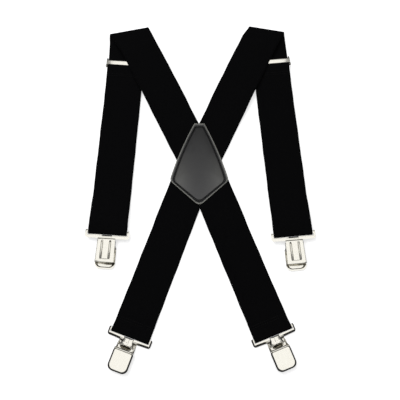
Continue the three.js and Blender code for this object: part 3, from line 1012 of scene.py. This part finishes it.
@dataclass
class Seam:
    """A row of lockstitches, each a short arch of thread whose ends dip into the material."""

    name: str
    pitch: float
    length: float
    radius: float = 0.33

    def run(self, *paths: Sequence[Vector]) -> bpy.types.Object:
        """Sews along paths.

        Args:
            *paths: Points along each row, in millimetres.

        Returns:
            All the stitches as one piece, in metres.
        """
        master = Bench.capsule("stitch", (0, 0, 0), (0, 0, 0), self.radius)
        reach = self.length / 2 / self.radius
        master.form(lambda p: Vector((p.x, p.y * reach, p.z - 0.12 * (p.y / self.radius) ** 2)))
        sewn = bmesh.new()
        for path in paths:
            for spot, direction in self.spots(path):
                across = Vector((0, 0, 1)).cross(direction)
                place = Matrix((across, direction, (0, 0, 1))).transposed().to_4x4()
                place = Matrix.Scale(MM, 4) @ Matrix.Translation(spot) @ place
                one = master.piece.data.copy()
                one.transform(place)
                sewn.from_mesh(one)
                bpy.data.meshes.remove(one)
        mesh = bpy.data.meshes.new(self.name)
        sewn.to_mesh(mesh)
        sewn.free()
        master.put_away()
        piece = settle(mesh, 60)
        dress(piece, THREAD)
        return piece

    def spots(self, path: Sequence[Vector]) -> list[tuple[Vector, Vector]]:
        """Middles and directions of the stitches along one path, evenly spread."""
        lengths = [(b - a).length for a, b in zip(path, path[1:])]
        count = max(1, round(sum(lengths) / self.pitch))
        step, found = sum(lengths) / count, []
        passed, index = 0.0, 0
        for i in range(count):
            target = (i + 0.5) * step
            while passed + lengths[index] < target and index < len(lengths) - 1:
                passed += lengths[index]
                index += 1
            direction = (path[index + 1] - path[index]).normalized()
            found.append((path[index] + direction * (target - passed), direction))
        return found


# ---- The bench ----


Outline = Sequence[tuple[float, float]]


def arc(
    x: float, y: float, radius: float, start: float, end: float, steps: int = 6
) -> list[tuple[float, float]]:
    """Points along an arc, with its angles in degrees."""
    angles = [math.radians(start + (end - start) * i / steps) for i in range(steps + 1)]
    return [(x + radius * math.cos(a), y + radius * math.sin(a)) for a in angles]


class Bench:
    """One piece being shaped on the bench, in millimetres in its own frame."""

    def __init__(self, piece: bpy.types.Object, name: str) -> None:
        """Takes up a fresh primitive.

        Args:
            piece: The primitive.
            name: The name that the piece gets.
        """
        self.piece = piece
        piece.name = name

    @classmethod
    def blank(cls, name: str, outline: Outline, level: float = 0.0, side_on: bool = False) -> "Bench":
        """A flat blank: a disc whose corners are moved to an outline.

        Args:
            name: The piece's name.
            outline: Its corners in X and Y, or in Y and Z if it is side on.
            level: Its place on the third axis.
            side_on: Whether the blank stands across X.

        Returns:
            The bench that holds it.
        """
        bpy.ops.mesh.primitive_circle_add(vertices=len(outline), radius=1.0, fill_type="NGON")
        bench = cls(bpy.context.active_object, name)
        for corner, (a, b) in zip(bench.piece.data.vertices, outline):
            corner.co = (level, a, b) if side_on else (a, b, level)
        return bench

    @classmethod
    def block(cls, name: str, low: Sequence[float], high: Sequence[float]) -> "Bench":
        """A block between two corners."""
        bpy.ops.mesh.primitive_cube_add(size=1.0)
        bench = cls(bpy.context.active_object, name)
        middle = [(a + b) / 2 for a, b in zip(low, high)]
        size = [b - a for a, b in zip(low, high)]
        bench.form(lambda p: Vector((m + p[i] * s for i, (m, s) in enumerate(zip(middle, size)))))
        return bench

    @classmethod
    def rod(
        cls, name: str, axis: str, centre: Sequence[float], radius: float, length: float, sides: int = 28
    ) -> "Bench":
        """A round rod along an axis, named X, Y or Z."""
        bpy.ops.mesh.primitive_cylinder_add(vertices=sides, radius=radius, depth=length)
        bench = cls(bpy.context.active_object, name)
        turns = {"X": Matrix.Rotation(math.pi / 2, 4, "Y"), "Y": Matrix.Rotation(math.pi / 2, 4, "X")}
        bench.piece.data.transform(Matrix.Translation(centre) @ turns.get(axis, Matrix.Identity(4)))
        return bench

    @classmethod
    def capsule(cls, name: str, start: Sequence[float], end: Sequence[float], radius: float) -> "Bench":
        """A round bar along Y with ball ends: a ball whose halves are drawn apart."""
        bpy.ops.mesh.primitive_uv_sphere_add(segments=20, ring_count=12, radius=radius)
        bench = cls(bpy.context.active_object, name)
        bench.piece.data.transform(Matrix.Rotation(math.pi / 2, 4, "X"))
        a, b = Vector(start), Vector(end)
        bench.form(lambda p: p + (a if p.y > 0 else b))
        return bench

    def edit(self) -> None:
        """Opens the piece for edit-mode steps."""
        select_only(self.piece)
        bpy.ops.object.mode_set(mode="EDIT")

    def done(self) -> "Bench":
        """Closes the edit-mode steps."""
        bpy.ops.object.mode_set(mode="OBJECT")
        return self

    def pick(self, part: Part, test: Test) -> None:
        """Selects edges or faces by their middle, and their direction or normal, in edit mode.

        Args:
            part: What is picked.
            test: Takes the middle and the direction and says whether it is picked.
        """
        self.edit()
        bpy.ops.mesh.select_mode(type=part.value)
        bpy.ops.mesh.select_all(action="DESELECT")
        mesh = bmesh.from_edit_mesh(self.piece.data)
        mesh.normal_update()
        if part is Part.EDGE:
            ends = [(e, e.verts[0].co, e.verts[1].co) for e in mesh.edges]
            chosen = [e for e, a, b in ends if test((a + b) / 2, (b - a).normalized())]
        else:
            chosen = [f for f in mesh.faces if test(f.calc_center_median(), f.normal)]
        for item in chosen:
            item.select_set(True)
        bmesh.update_edit_mesh(self.piece.data)

    def extrude(self, step: Sequence[float]) -> "Bench":
        """Pulls all the faces out along a step."""
        self.pick(Part.FACE, lambda p, n: True)
        bpy.ops.mesh.extrude_region_move(TRANSFORM_OT_translate={"value": tuple(step)})
        return self.done()

    def split(self, point: Sequence[float], normal: Sequence[float]) -> "Bench":
        """Scores the whole piece along a plane."""
        self.edit()
        bpy.ops.mesh.select_all(action="SELECT")
        bpy.ops.mesh.bisect(plane_co=tuple(point), plane_no=tuple(normal))
        return self.done()

    def round_off(self, width: float, steps: int, test: Test) -> "Bench":
        """Rounds the picked edges."""
        self.pick(Part.EDGE, test)
        bpy.ops.mesh.bevel(offset=width, segments=steps, profile=0.5, affect="EDGES", clamp_overlap=True)
        return self.done()

    def form(self, change: Callable[[Vector], Vector]) -> "Bench":
        """Presses the piece over a former: every corner goes to its changed place."""
        for corner in self.piece.data.vertices:
            corner.co = change(corner.co.copy())
        return self

    def apply(self, kind: str, **settings: object) -> "Bench":
        """Adds one modifier and applies it."""
        modifier = self.piece.modifiers.new(kind.lower(), kind)
        for name, value in settings.items():
            setattr(modifier, name, value)
        select_only(self.piece)
        bpy.ops.object.modifier_apply(modifier=modifier.name)
        return self

    def cut(self, *tools: "Bench") -> "Bench":
        """Cuts the tools' shapes out of the piece."""
        for tool in tools:
            self.apply("BOOLEAN", operation="DIFFERENCE", object=tool.piece, solver="EXACT")
            bpy.data.objects.remove(tool.piece)
        return self

    def soften(self, width: float, steps: int = 2, angle: float = 35.0) -> "Bench":
        """Rounds every edge that is sharper than an angle."""
        limit = math.radians(angle)
        return self.apply("BEVEL", width=width, segments=steps, limit_method="ANGLE", angle_limit=limit)

    def add(self, *others: "Bench") -> "Bench":
        """Joins other pieces to this one."""
        select_only(self.piece, *(other.piece for other in others))
        bpy.ops.object.join()
        return self

    def finish(self, finish: Finish, shading: float = 35.0) -> "Bench":
        """Cleans the mesh, faces it outwards, shades it and gives it its finish."""
        self.edit()
        bpy.ops.mesh.select_all(action="SELECT")
        bpy.ops.mesh.remove_doubles(threshold=0.0005)
        bpy.ops.mesh.normals_make_consistent(inside=False)
        self.done()
        smooth(self.piece, shading)
        dress(self.piece, finish)
        return self

    def set_in_place(self, name: str, place: Matrix, body: str, slot: str, *nodes: str) -> bpy.types.Object:
        """Sets a copy with its own mesh in its place, in metres.

        Args:
            name: The copy's name.
            place: From the piece's own frame, in millimetres, to the row frame, in metres.
            body: The body that it rides on.
            slot: The record's material slot; not used.
            *nodes: The CAD nodes that it stands for.

        Returns:
            The copy.
        """
        mesh = self.piece.data.copy()
        mesh.name = name
        mesh.transform(place)
        copy = bpy.data.objects.new(name, mesh)
        bpy.context.scene.collection.objects.link(copy)
        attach(copy, body)
        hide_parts(*nodes)
        return copy

    def put_away(self) -> None:
        """Takes the master piece off the bench."""
        bpy.data.objects.remove(self.piece)


def local_frame(direction: Vector, origin: Vector, face_up: bool) -> Matrix:
    """A fitting's own frame, in millimetres, as a matrix to the row frame, in metres.

    Args:
        direction: Where its jaws point, in plan.
        origin: Its origin in millimetres.
        face_up: Whether its own Z axis points up.

    Returns:
        The matrix.
    """
    turn_z = Matrix.Rotation(math.atan2(direction.x, -direction.y), 4, "Z")
    turn_y = Matrix.Rotation(0.0 if face_up else math.pi, 4, "Y")
    return Matrix.Scale(MM, 4) @ Matrix.Translation(origin) @ turn_z @ turn_y


# ---- Clips ----


@dataclass
class Fitting:
    """A metal fitting: its parts are modelled once at the bench and copied to each place."""

    parts: dict[str, Bench] = field(default_factory=dict, init=False)

    def put_away(self) -> None:
        """Takes the master parts off the bench."""
        for bench in self.parts.values():
            bench.put_away()


@dataclass
class Clip(Fitting):
    """The hinged clip, modelled once: bar along X through the origin, jaws towards -Y, cover on the +Z side."""

    arm_in: float = 26.1
    arm_out: float = 28.6
    opening_low: float = -3.6
    notch_half: float = 6.7
    ring_low: float = -8.0
    plate_end: float = -38.2
    channel_x: float = 5.2
    pivot: tuple[float, float] = (-20.0, 5.8)
    tab_half: float = 6.1
    jaw_half: float = 9.8
    cover_half: float = 13.0
    cover_top: float = 7.3
    cover_start: float = -20.9
    cover_end: float = -46.8
    cover_rim: float = 1.75
    roll: tuple[float, float] = (-19.85, 5.9)
    roll_radius: float = 1.6

    def make_ring(self) -> Bench:
        """The stirrup that the webbing hangs from: a pressed frame with rounded bars and a sloping lip."""
        out, low = self.arm_out, self.ring_low
        right = [(25.35, 1.2), (25.8, 2.0)] + arc(out - 1.5, 1.3, 1.5, 110, 0, 5)
        right += arc(out - 3.2, low + 3.2, 3.2, 0, -80, 6)
        right += [(19.0, low - 0.15), (13.0, low - 0.45), (7.0, low - 0.9)]
        left = [(-x, y) for x, y in reversed(right)]
        ring = Bench.blank("ring", (right + left)[::-1], -1.0).extrude((0, 0, 2.0))
        ring.form(self.slope_ring)
        opening = Bench.block("opening", (-self.arm_in, self.opening_low, -3), (self.arm_in, -1.0, 3))
        opening.round_off(0.9, 3, lambda p, d: abs(d.z) > 0.9)
        notch = Bench.block("notch", (-self.notch_half, -4.75, -3), (self.notch_half, -2, 3))
        notch.round_off(0.8, 3, lambda p, d: abs(d.z) > 0.9)
        ring.cut(opening, notch)
        return ring.soften(0.5, 3, 30)

    def slope_ring(self, p: Vector) -> Vector:
        """Draws the ring's top in, so that its front lip and its ends slope."""
        if p.z < 0.9:
            return p
        side = min(1.0, max(0.0, (abs(p.x) - 26.2) / 2.2))
        front = 1.0 if p.y < self.ring_low + 1.6 else 0.0
        return Vector((p.x - math.copysign(1.9 * side, p.x), p.y + (2.8 - 1.2 * side) * front, p.z))

    def make_plate(self) -> Bench:
        """The back plate: stepped below the ring, with two pressed channels, two holes and a turned-up lip."""
        end = self.plate_end
        profile = [(-6.5, 0.8), (-6.6, -0.7), (-7.6, -1.0), (-7.9, -1.7)]
        profile += [(-8.2, -2.6), (-8.7, -3.1), (-9.5, -3.2)]
        profile += arc(end - 0.2, -2.4, 0.8, -90, -180, 4) + [(end - 1.0, -0.9), (end, -0.9), (end, -2.0)]
        profile += [(-9.8, -2.0), (-9.4, -1.8), (-9.1, -1.2), (-8.8, -0.3), (-8.1, 0.4), (-7.3, 0.7)]
        plate = Bench.blank("plate", profile, -1.0, side_on=True).extrude((2.0, 0, 0))
        plate.form(lambda p: Vector((p.x * (11.2 + 0.9 * min(1.0, max(0.0, (-p.y - 7) / 32))), p.y, p.z)))
        tools = []
        for side in (-1, 1):
            x = side * self.channel_x
            tools.append(Bench.capsule("channel", (x, -13.0, -3.95), (x, -33.0, -3.95), 1.75))
            tools.append(Bench.rod("hole", "Z", (x, -11.6, -2.5), 1.1, 6.0))
        plate.cut(*tools)
        return plate.soften(0.3, 2)

    def make_ear(self, side: int) -> Bench:
        """One ear: an upright with a round eye for the hinge pin."""
        y, z = self.pivot
        outline = [(-22.2, -2.5), (-10.6, -2.5), (-11.2, 0.6), (-14.2, 0.9), (-16.6, 1.8)]
        outline += arc(y, z, 1.9, 10, 190, 10)
        x = side * 10.7
        ear = Bench.blank("ear", outline, x, side_on=True).extrude((side * 1.0, 0, 0))
        ear.cut(Bench.rod("eye", "X", (x, y, z), 0.85, 6.0, 20))
        return ear.soften(0.25, 2)

    def make_jaw(self) -> Bench:
        """The front jaw: a hook over the ring, a crowned tab, a flared jaw, a window and a turned-down lip."""
        end = self.plate_end
        profile = [(-6.6, -2.2), (-5.4, -2.2), (-5.1, -2.1), (-3.65, -0.85), (-3.55, -0.5)]
        profile += arc(-4.4, 1.35, 0.85, 0, 90, 4)
        steps = [-5.2, -6.0, -7.0, -8.0, -9.0, -10.0, -11.0, -12.0, -13.0, -14.0, -15.3, -18.0, -24.0, -31.0]
        profile += [(y, 2.2) for y in steps] + arc(end - 0.1, 1.4, 0.8, 90, 180, 4)
        profile += [(end - 0.9, -0.1), (end, -0.1), (end, 1.3)] + [(y, 1.3) for y in reversed(steps)]
        profile += [(-4.4, 1.3), (-4.4, -0.7), (-4.55, -1.25), (-6.6, -1.35)]
        jaw = Bench.blank("jaw", profile, -1.0, side_on=True).extrude((2.0, 0, 0))
        for x in (-0.8, -0.55, -0.34, -0.2, -0.08, 0.08, 0.2, 0.34, 0.55, 0.8):
            jaw.split((x, 0, 0), (1, 0, 0))
        jaw.form(self.press_jaw)
        window = Bench.rod("window", "Z", (0, 0, 1.5), 1.0, 6.0, 36)
        window.form(lambda p: Vector((p.x * 7.6, -16.3 + p.y * 2.4, p.z)))
        scallops = [Bench.rod("scallop", "Z", (x, -6.9, -2), 0.95, 3.0, 20) for x in (-3.0, 0.0, 3.0)]
        tongue = [(-18.4, 1.9), (-18.4, 1.4), (-14.6, -1.5), (-14.2, -1.2)]
        louvre = Bench.blank("louvre", tongue, -6.6, side_on=True)
        louvre.extrude((13.2, 0, 0))
        return jaw.cut(window, *scallops).soften(0.22, 2, 40).add(louvre)

    def press_jaw(self, p: Vector) -> Vector:
        """Gives the jaw its plan and the tab its crown."""
        flare = min(1.0, max(0.0, (-9.0 - p.y) / 6.3))
        half = self.tab_half + (self.jaw_half - self.tab_half) * flare * flare * (3 - 2 * flare)
        crown = 1 - p.x * p.x - 0.55 * math.exp(-((p.x / 0.17) ** 2))
        crown *= 1 - min(1.0, max(0.0, (-9.5 - p.y) / 4.0))
        lift = 1.1 * crown * min(1.0, max(0.0, (-3.6 - p.y) / 1.2)) if p.z > 0 else 0.0
        lip = 0.9 * math.exp(-(((p.y + 13.0) / 1.1) ** 2)) if p.z > 0 else 0.0
        return Vector((p.x * half, p.y, p.z + lift + lip))

    def make_cover(self) -> Bench:
        """The lever's cover: a pressed dish with rounded corners, a turned-down rim and a rolled hinge."""
        rim, start, top = self.cover_rim, self.cover_start, self.cover_top
        half, end = self.cover_half - rim, self.cover_end + rim
        wide, deep = self.cover_half / half, 1 + rim / (start - end)
        outline = arc(half - 1.6, start - 1.6, 1.6, 90, 0, 4) + arc(half - 6.3, end + 6.3, 6.3, 0, -90, 8)
        outline += [(-x, y) for x, y in reversed(outline)]
        cover = Bench.blank("cover", outline, top - 2.4)
        cover.form(lambda p: Vector((p.x * wide, start + (p.y - start) * deep, p.z)))
        cover.extrude((0, 0, 2.4))
        cover.form(
            lambda p: p if p.z < top - 1 else Vector((p.x / wide, start + (p.y - start) / deep, p.z))
        )
        cover.round_off(0.45, 4, lambda p, d: p.z > top - 0.01)
        hollow = Bench.blank("hollow", outline, top - 0.8)
        hollow.form(lambda p: Vector((p.x * 0.93, start + 3.0 + (p.y - start) * 1.07, p.z)))
        hollow.extrude((0, 0, -1.7))
        hollow.form(
            lambda p: p if p.z > top - 1 else Vector((p.x * 1.185, start + (p.y - start) * 1.055, p.z))
        )
        cover.cut(hollow)
        roll = Bench.rod("roll", "X", (0, *self.roll), self.roll_radius, 21.2, 32).soften(0.6, 3)
        neck = Bench.block("neck", (-10.2, -21.8, 6.2), (10.2, -19.3, 7.0)).soften(0.25, 2)
        nose = Bench.block("nose", (-8, -20.8, 2.9), (8, -19.2, 5.6)).soften(0.7, 3)
        barrel = Bench.rod("barrel", "X", (0, *self.pivot), 1.3, 20.6, 28)
        return cover.add(roll, neck, nose, barrel)

    def make_pin(self) -> Bench:
        """The hinge pin, with domed heads outside the ears."""
        y, z = self.pivot
        pin = Bench.rod("pin", "X", (0, y, z), 0.75, 24.4, 20)
        heads = []
        for side in (-1, 1):
            head = Bench.rod("head", "X", (side * 12.15, y, z), 1.15, 0.8, 24)
            heads.append(head.round_off(0.35, 3, lambda p, d, s=side: p.x * s > 12.5))
        return pin.add(*heads)

    def make_pad(self, name: str, base: float, face: float) -> Bench:
        """A ribbed grip pad on the inside of a jaw."""
        end, pitch = self.plate_end + 1.4, 2.1
        tooth = 0.4 if face > base else -0.4
        profile = [(-24.0, base), (end, base)]
        count = round((-24.0 - end) / pitch)
        pitch = (-24.0 - end) / count
        for i in range(count):
            profile += [(end + i * pitch, face), (end + (i + 0.5) * pitch, face + tooth)]
        profile.append((-24.0, face))
        pad = Bench.blank(name, profile, -9.4, side_on=True).extrude((18.8, 0, 0))
        return pad.soften(0.12, 2)

    def build(self) -> None:
        """Makes the master parts."""
        frame = self.make_ring().add(self.make_plate(), self.make_ear(-1), self.make_ear(1))
        self.parts = {
            "frame": frame.finish(NICKEL),
            "jaw": self.make_jaw().finish(NICKEL),
            "lever": self.make_cover().finish(NICKEL, 40),
            "pin": self.make_pin().finish(NICKEL),
            "frame_pad": self.make_pad("frame_pad", -1.8, -1.1).finish(NYLON),
            "jaw_pad": self.make_pad("jaw_pad", 1.1, 0.4).finish(NYLON),
        }

    def place(self, name: str, frame: Matrix) -> None:
        """Sets a copy of every part in place.

        Args:
            name: The clip's name, such as back_left.
            frame: The clip's own frame.
        """
        bodies = {"jaw": "jaw", "jaw_pad": "jaw", "lever": "lever"}
        for part, bench in self.parts.items():
            slot = "grip_plastic" if part.endswith("pad") else "nickel_steel"
            body = f"{name}_{bodies.get(part, 'clip')}"
            bench.set_in_place(f"{name}_{part}", frame, body, slot, f"{name}_clip_{part}")
        LOG.info("%s: clip with %d parts", name, len(self.parts))


# ---- Adjusters ----


@dataclass
class Adjuster(Fitting):
    """The lever slide, modelled once: webbing at Z = 0, the shoulder towards +Y, the lever on the +Z side."""

    side_in: float = 26.2
    side_out: float = 27.4
    bar_half: float = 2.65
    rod_y: float = -6.5
    rod_z: float = -3.8
    hinge_y: float = 5.3
    hinge_z: float = 1.65

    def make_frame(self) -> Bench:
        """The frame: a flat rear bar between two side plates, with eyes for the rod and the lever."""
        bar = Bench.block("bar", (-self.side_out, -self.bar_half, -2.3), (self.side_out, self.bar_half, -1.1))
        for y in (-2.0, -1.2, -0.4, 0.4, 1.2, 2.0):
            bar.split((0, y, 0), (0, 1, 0))
        bar.form(self.dome_bar)
        bar.soften(0.25, 2, 50)
        sides = []
        for side in (-1, 1):
            outline = [(6.9, 2.35), (-1, 2.35), (-6, 1.0), (-8.4, -3), (-8.1, -5.2), (-5, -5.2), (-3.2, -2.3)]
            outline += [(3.2, -2.3), (6.9, -0.5)]
            x = side * self.side_in
            plate = Bench.blank("side", outline, x, side_on=True)
            plate.extrude((side * (self.side_out - self.side_in), 0, 0))
            plate.cut(Bench.rod("eye", "X", (x, self.hinge_y, self.hinge_z), 0.6, 6.0, 16))
            plate.cut(Bench.rod("eye", "X", (x, self.rod_y, self.rod_z), 1.0, 6.0, 16))
            sides.append(plate.soften(0.3, 2))
        return bar.add(*sides)

    def dome_bar(self, p: Vector) -> Vector:
        """Domes and tilts the rear bar's outer face."""
        if p.z >= -1.7:
            return p
        return Vector((p.x, p.y, p.z + 0.12 * (p.y / self.bar_half) ** 2 - 0.24 * p.y))

    def make_lever(self) -> Bench:
        """The lever: a pressed cover with a toothed edge that bites the webbing, on two trunnions."""
        cover = Bench.block("cover", (-25.9, -6.5, 1.55), (25.9, self.hinge_y, 2.4)).soften(0.3, 2)
        roll = Bench.rod("roll", "X", (0, self.hinge_y, self.hinge_z), 0.6, 51.8, 20)
        trunnions = Bench.rod("trunnions", "X", (0, self.hinge_y, self.hinge_z), 0.4, 54.6, 16)
        comb: list[tuple[float, float]] = [(-25.0, 1.7)]
        count = 24
        for i in range(count):
            comb += [(-25.0 + i * 50 / count, 1.4), (-25.0 + (i + 0.5) * 50 / count, 1.02)]
        comb += [(25.0, 1.4), (25.0, 1.7)]
        teeth = Bench.blank("teeth", comb)
        teeth.form(lambda p: Vector((p.x, 4.2, p.y)))
        teeth.extrude((0, -0.8, 0))
        return cover.add(roll, trunnions, teeth)

    def build(self) -> None:
        """Makes the master parts."""
        rod = Bench.rod("rod", "X", (0, self.rod_y, self.rod_z), 0.8, 55.8, 24).soften(0.25, 2)
        self.parts = {
            "frame": self.make_frame().finish(NICKEL),
            "lever": self.make_lever().finish(NICKEL),
            "rod": rod.finish(NICKEL),
        }

    def place(self, name: str, frame: Matrix) -> None:
        """Sets a copy of every part in place.

        Args:
            name: The adjuster's name, such as left_adjuster.
            frame: The adjuster's own frame.
        """
        for part, bench in self.parts.items():
            body = f"{name}_lever" if part == "lever" else name
            bench.set_in_place(f"{name}_slide_{part}", frame, body, "nickel_steel", f"{name}_{part}")
        LOG.info("%s: adjuster with %d parts", name, len(self.parts))


# ---- The room ----


@dataclass
class Studio:
    """Camera, floor and light."""

    look_at: Vector = field(default_factory=lambda: Vector((-0.36, -14.9, 0.0)) * MM)
    distance: float = 0.8
    tilt_degrees: float = 14.0
    lens: float = 54.47

    def camera(self) -> None:
        """Sets the camera above the straps, tilted towards the back clips' side."""
        data = bpy.data.cameras.new("camera")
        data.lens = self.lens
        data.sensor_width = 36.0
        data.clip_start = 0.01
        camera = bpy.data.objects.new("camera", data)
        tilt = math.radians(self.tilt_degrees)
        camera.location = self.look_at + Vector((0, -math.sin(tilt), math.cos(tilt))) * self.distance
        camera.rotation_euler = (tilt, 0, 0)
        bpy.context.scene.collection.objects.link(camera)
        bpy.context.scene.camera = camera

    def floor(self) -> None:
        """Lays a plain white sweep that mirrors don't see, so that metal edges show dark against it."""
        bpy.ops.object.select_all(action="DESELECT")
        bpy.ops.mesh.primitive_plane_add(size=6.0, location=(0, 0, 0))
        floor = bpy.context.active_object
        floor.name = "floor"
        floor.data.materials.append(PAPER.material())
        floor.visible_glossy = False

    def light(self) -> None:
        """Hangs a key light that gives the shadows, and a broad overhead card for the metal to mirror."""
        world = bpy.data.worlds.new("studio")
        world.use_nodes = True
        tree = world.node_tree
        tree.nodes.clear()
        up = add_node(tree, "SeparateXYZ", {0: add_node(tree, "TexCoord").outputs["Generated"]}).outputs[2]
        greys = [(place, (grey, grey, grey, 1)) for place, grey in ((0.42, 0.03), (0.82, 0.3), (0.64, 0.16))]
        back = add_node(tree, "Background", {0: ramp(tree, up, *greys)}, in_1=1.0)
        add_node(tree, "OutputWorld", {0: back.outputs[0]})
        bpy.context.scene.world = world
        key = self.softbox("key", (0.9, 0.7), 7.0, Vector((-0.35, 0.45, 1.1)), Vector((0, 0, 0)))
        key.visible_glossy = False
        self.softbox("overhead", (1.5, 1.0), 3.9, Vector((0, -0.1, 1.2)), Vector((0, -0.1, 0)))
        bpy.context.scene.view_settings.view_transform = "Standard"

    def softbox(
        self, name: str, size: tuple[float, float], watts: float, place: Vector, target: Vector
    ) -> bpy.types.Object:
        """Hangs a rectangular softbox.

        Args:
            name: The light's name.
            size: Width and height in metres.
            watts: Its power.
            place: Where it hangs.
            target: Where it points.

        Returns:
            The light.
        """
        data = bpy.data.lights.new(name, "AREA")
        data.shape = "RECTANGLE"
        data.size, data.size_y = size
        data.energy = watts
        box = bpy.data.objects.new(name, data)
        box.location = place
        box.rotation_euler = (target - place).to_track_quat("-Z", "Y").to_euler()
        bpy.context.scene.collection.objects.link(box)
        return box


def main() -> None:
    """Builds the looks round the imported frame."""
    logging.basicConfig(level=logging.INFO, format="%(message)s")
    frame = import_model()
    studio = Studio()
    studio.camera()
    studio.floor()
    studio.light()
    patch_low, patch_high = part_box("patch_back")
    crossing = Vector(((patch_low.x + patch_high.x) / 2, patch_high.y - Patch.top_y * MM, 0)) / MM
    clip, adjuster = Clip(), Adjuster()
    clip.build()
    adjuster.build()
    patch = Patch(crossing)
    patch.build(patch_low.z / MM)
    under = patch.back + WEB.air + WEB.thick / 2 + WEB.floor_gap
    lift = Vector((0, 0, 1))
    for plan in (
        StrapPlan("left", -1, 26.6, 219.4, 21.9, 209.0, 4.0, 291.0, under + WEB.layer, "back_right", crossing),
        StrapPlan("right", 1, 25.4, 219.8, 20.3, 208.8, 5.2, 296.0, under, "back_left", crossing),
    ):
        Strap(plan).build()
        back_bar, front_bar = plan.back_bar + lift * WEB.back_bar, plan.front_bar + lift * WEB.front_bar
        clip.place(plan.back_clip, local_frame(plan.down, back_bar, True))
        clip.place(f"front_{plan.name}", local_frame(plan.ahead, front_bar, False))
        bar = plan.fold + plan.ahead * WEB.adjuster_at + lift * WEB.front
        adjuster.place(f"{plan.name}_adjuster", local_frame(plan.ahead, bar, False))
    clip.put_away()
    adjuster.put_away()
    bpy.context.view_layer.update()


if __name__ == "__main__":
    main()
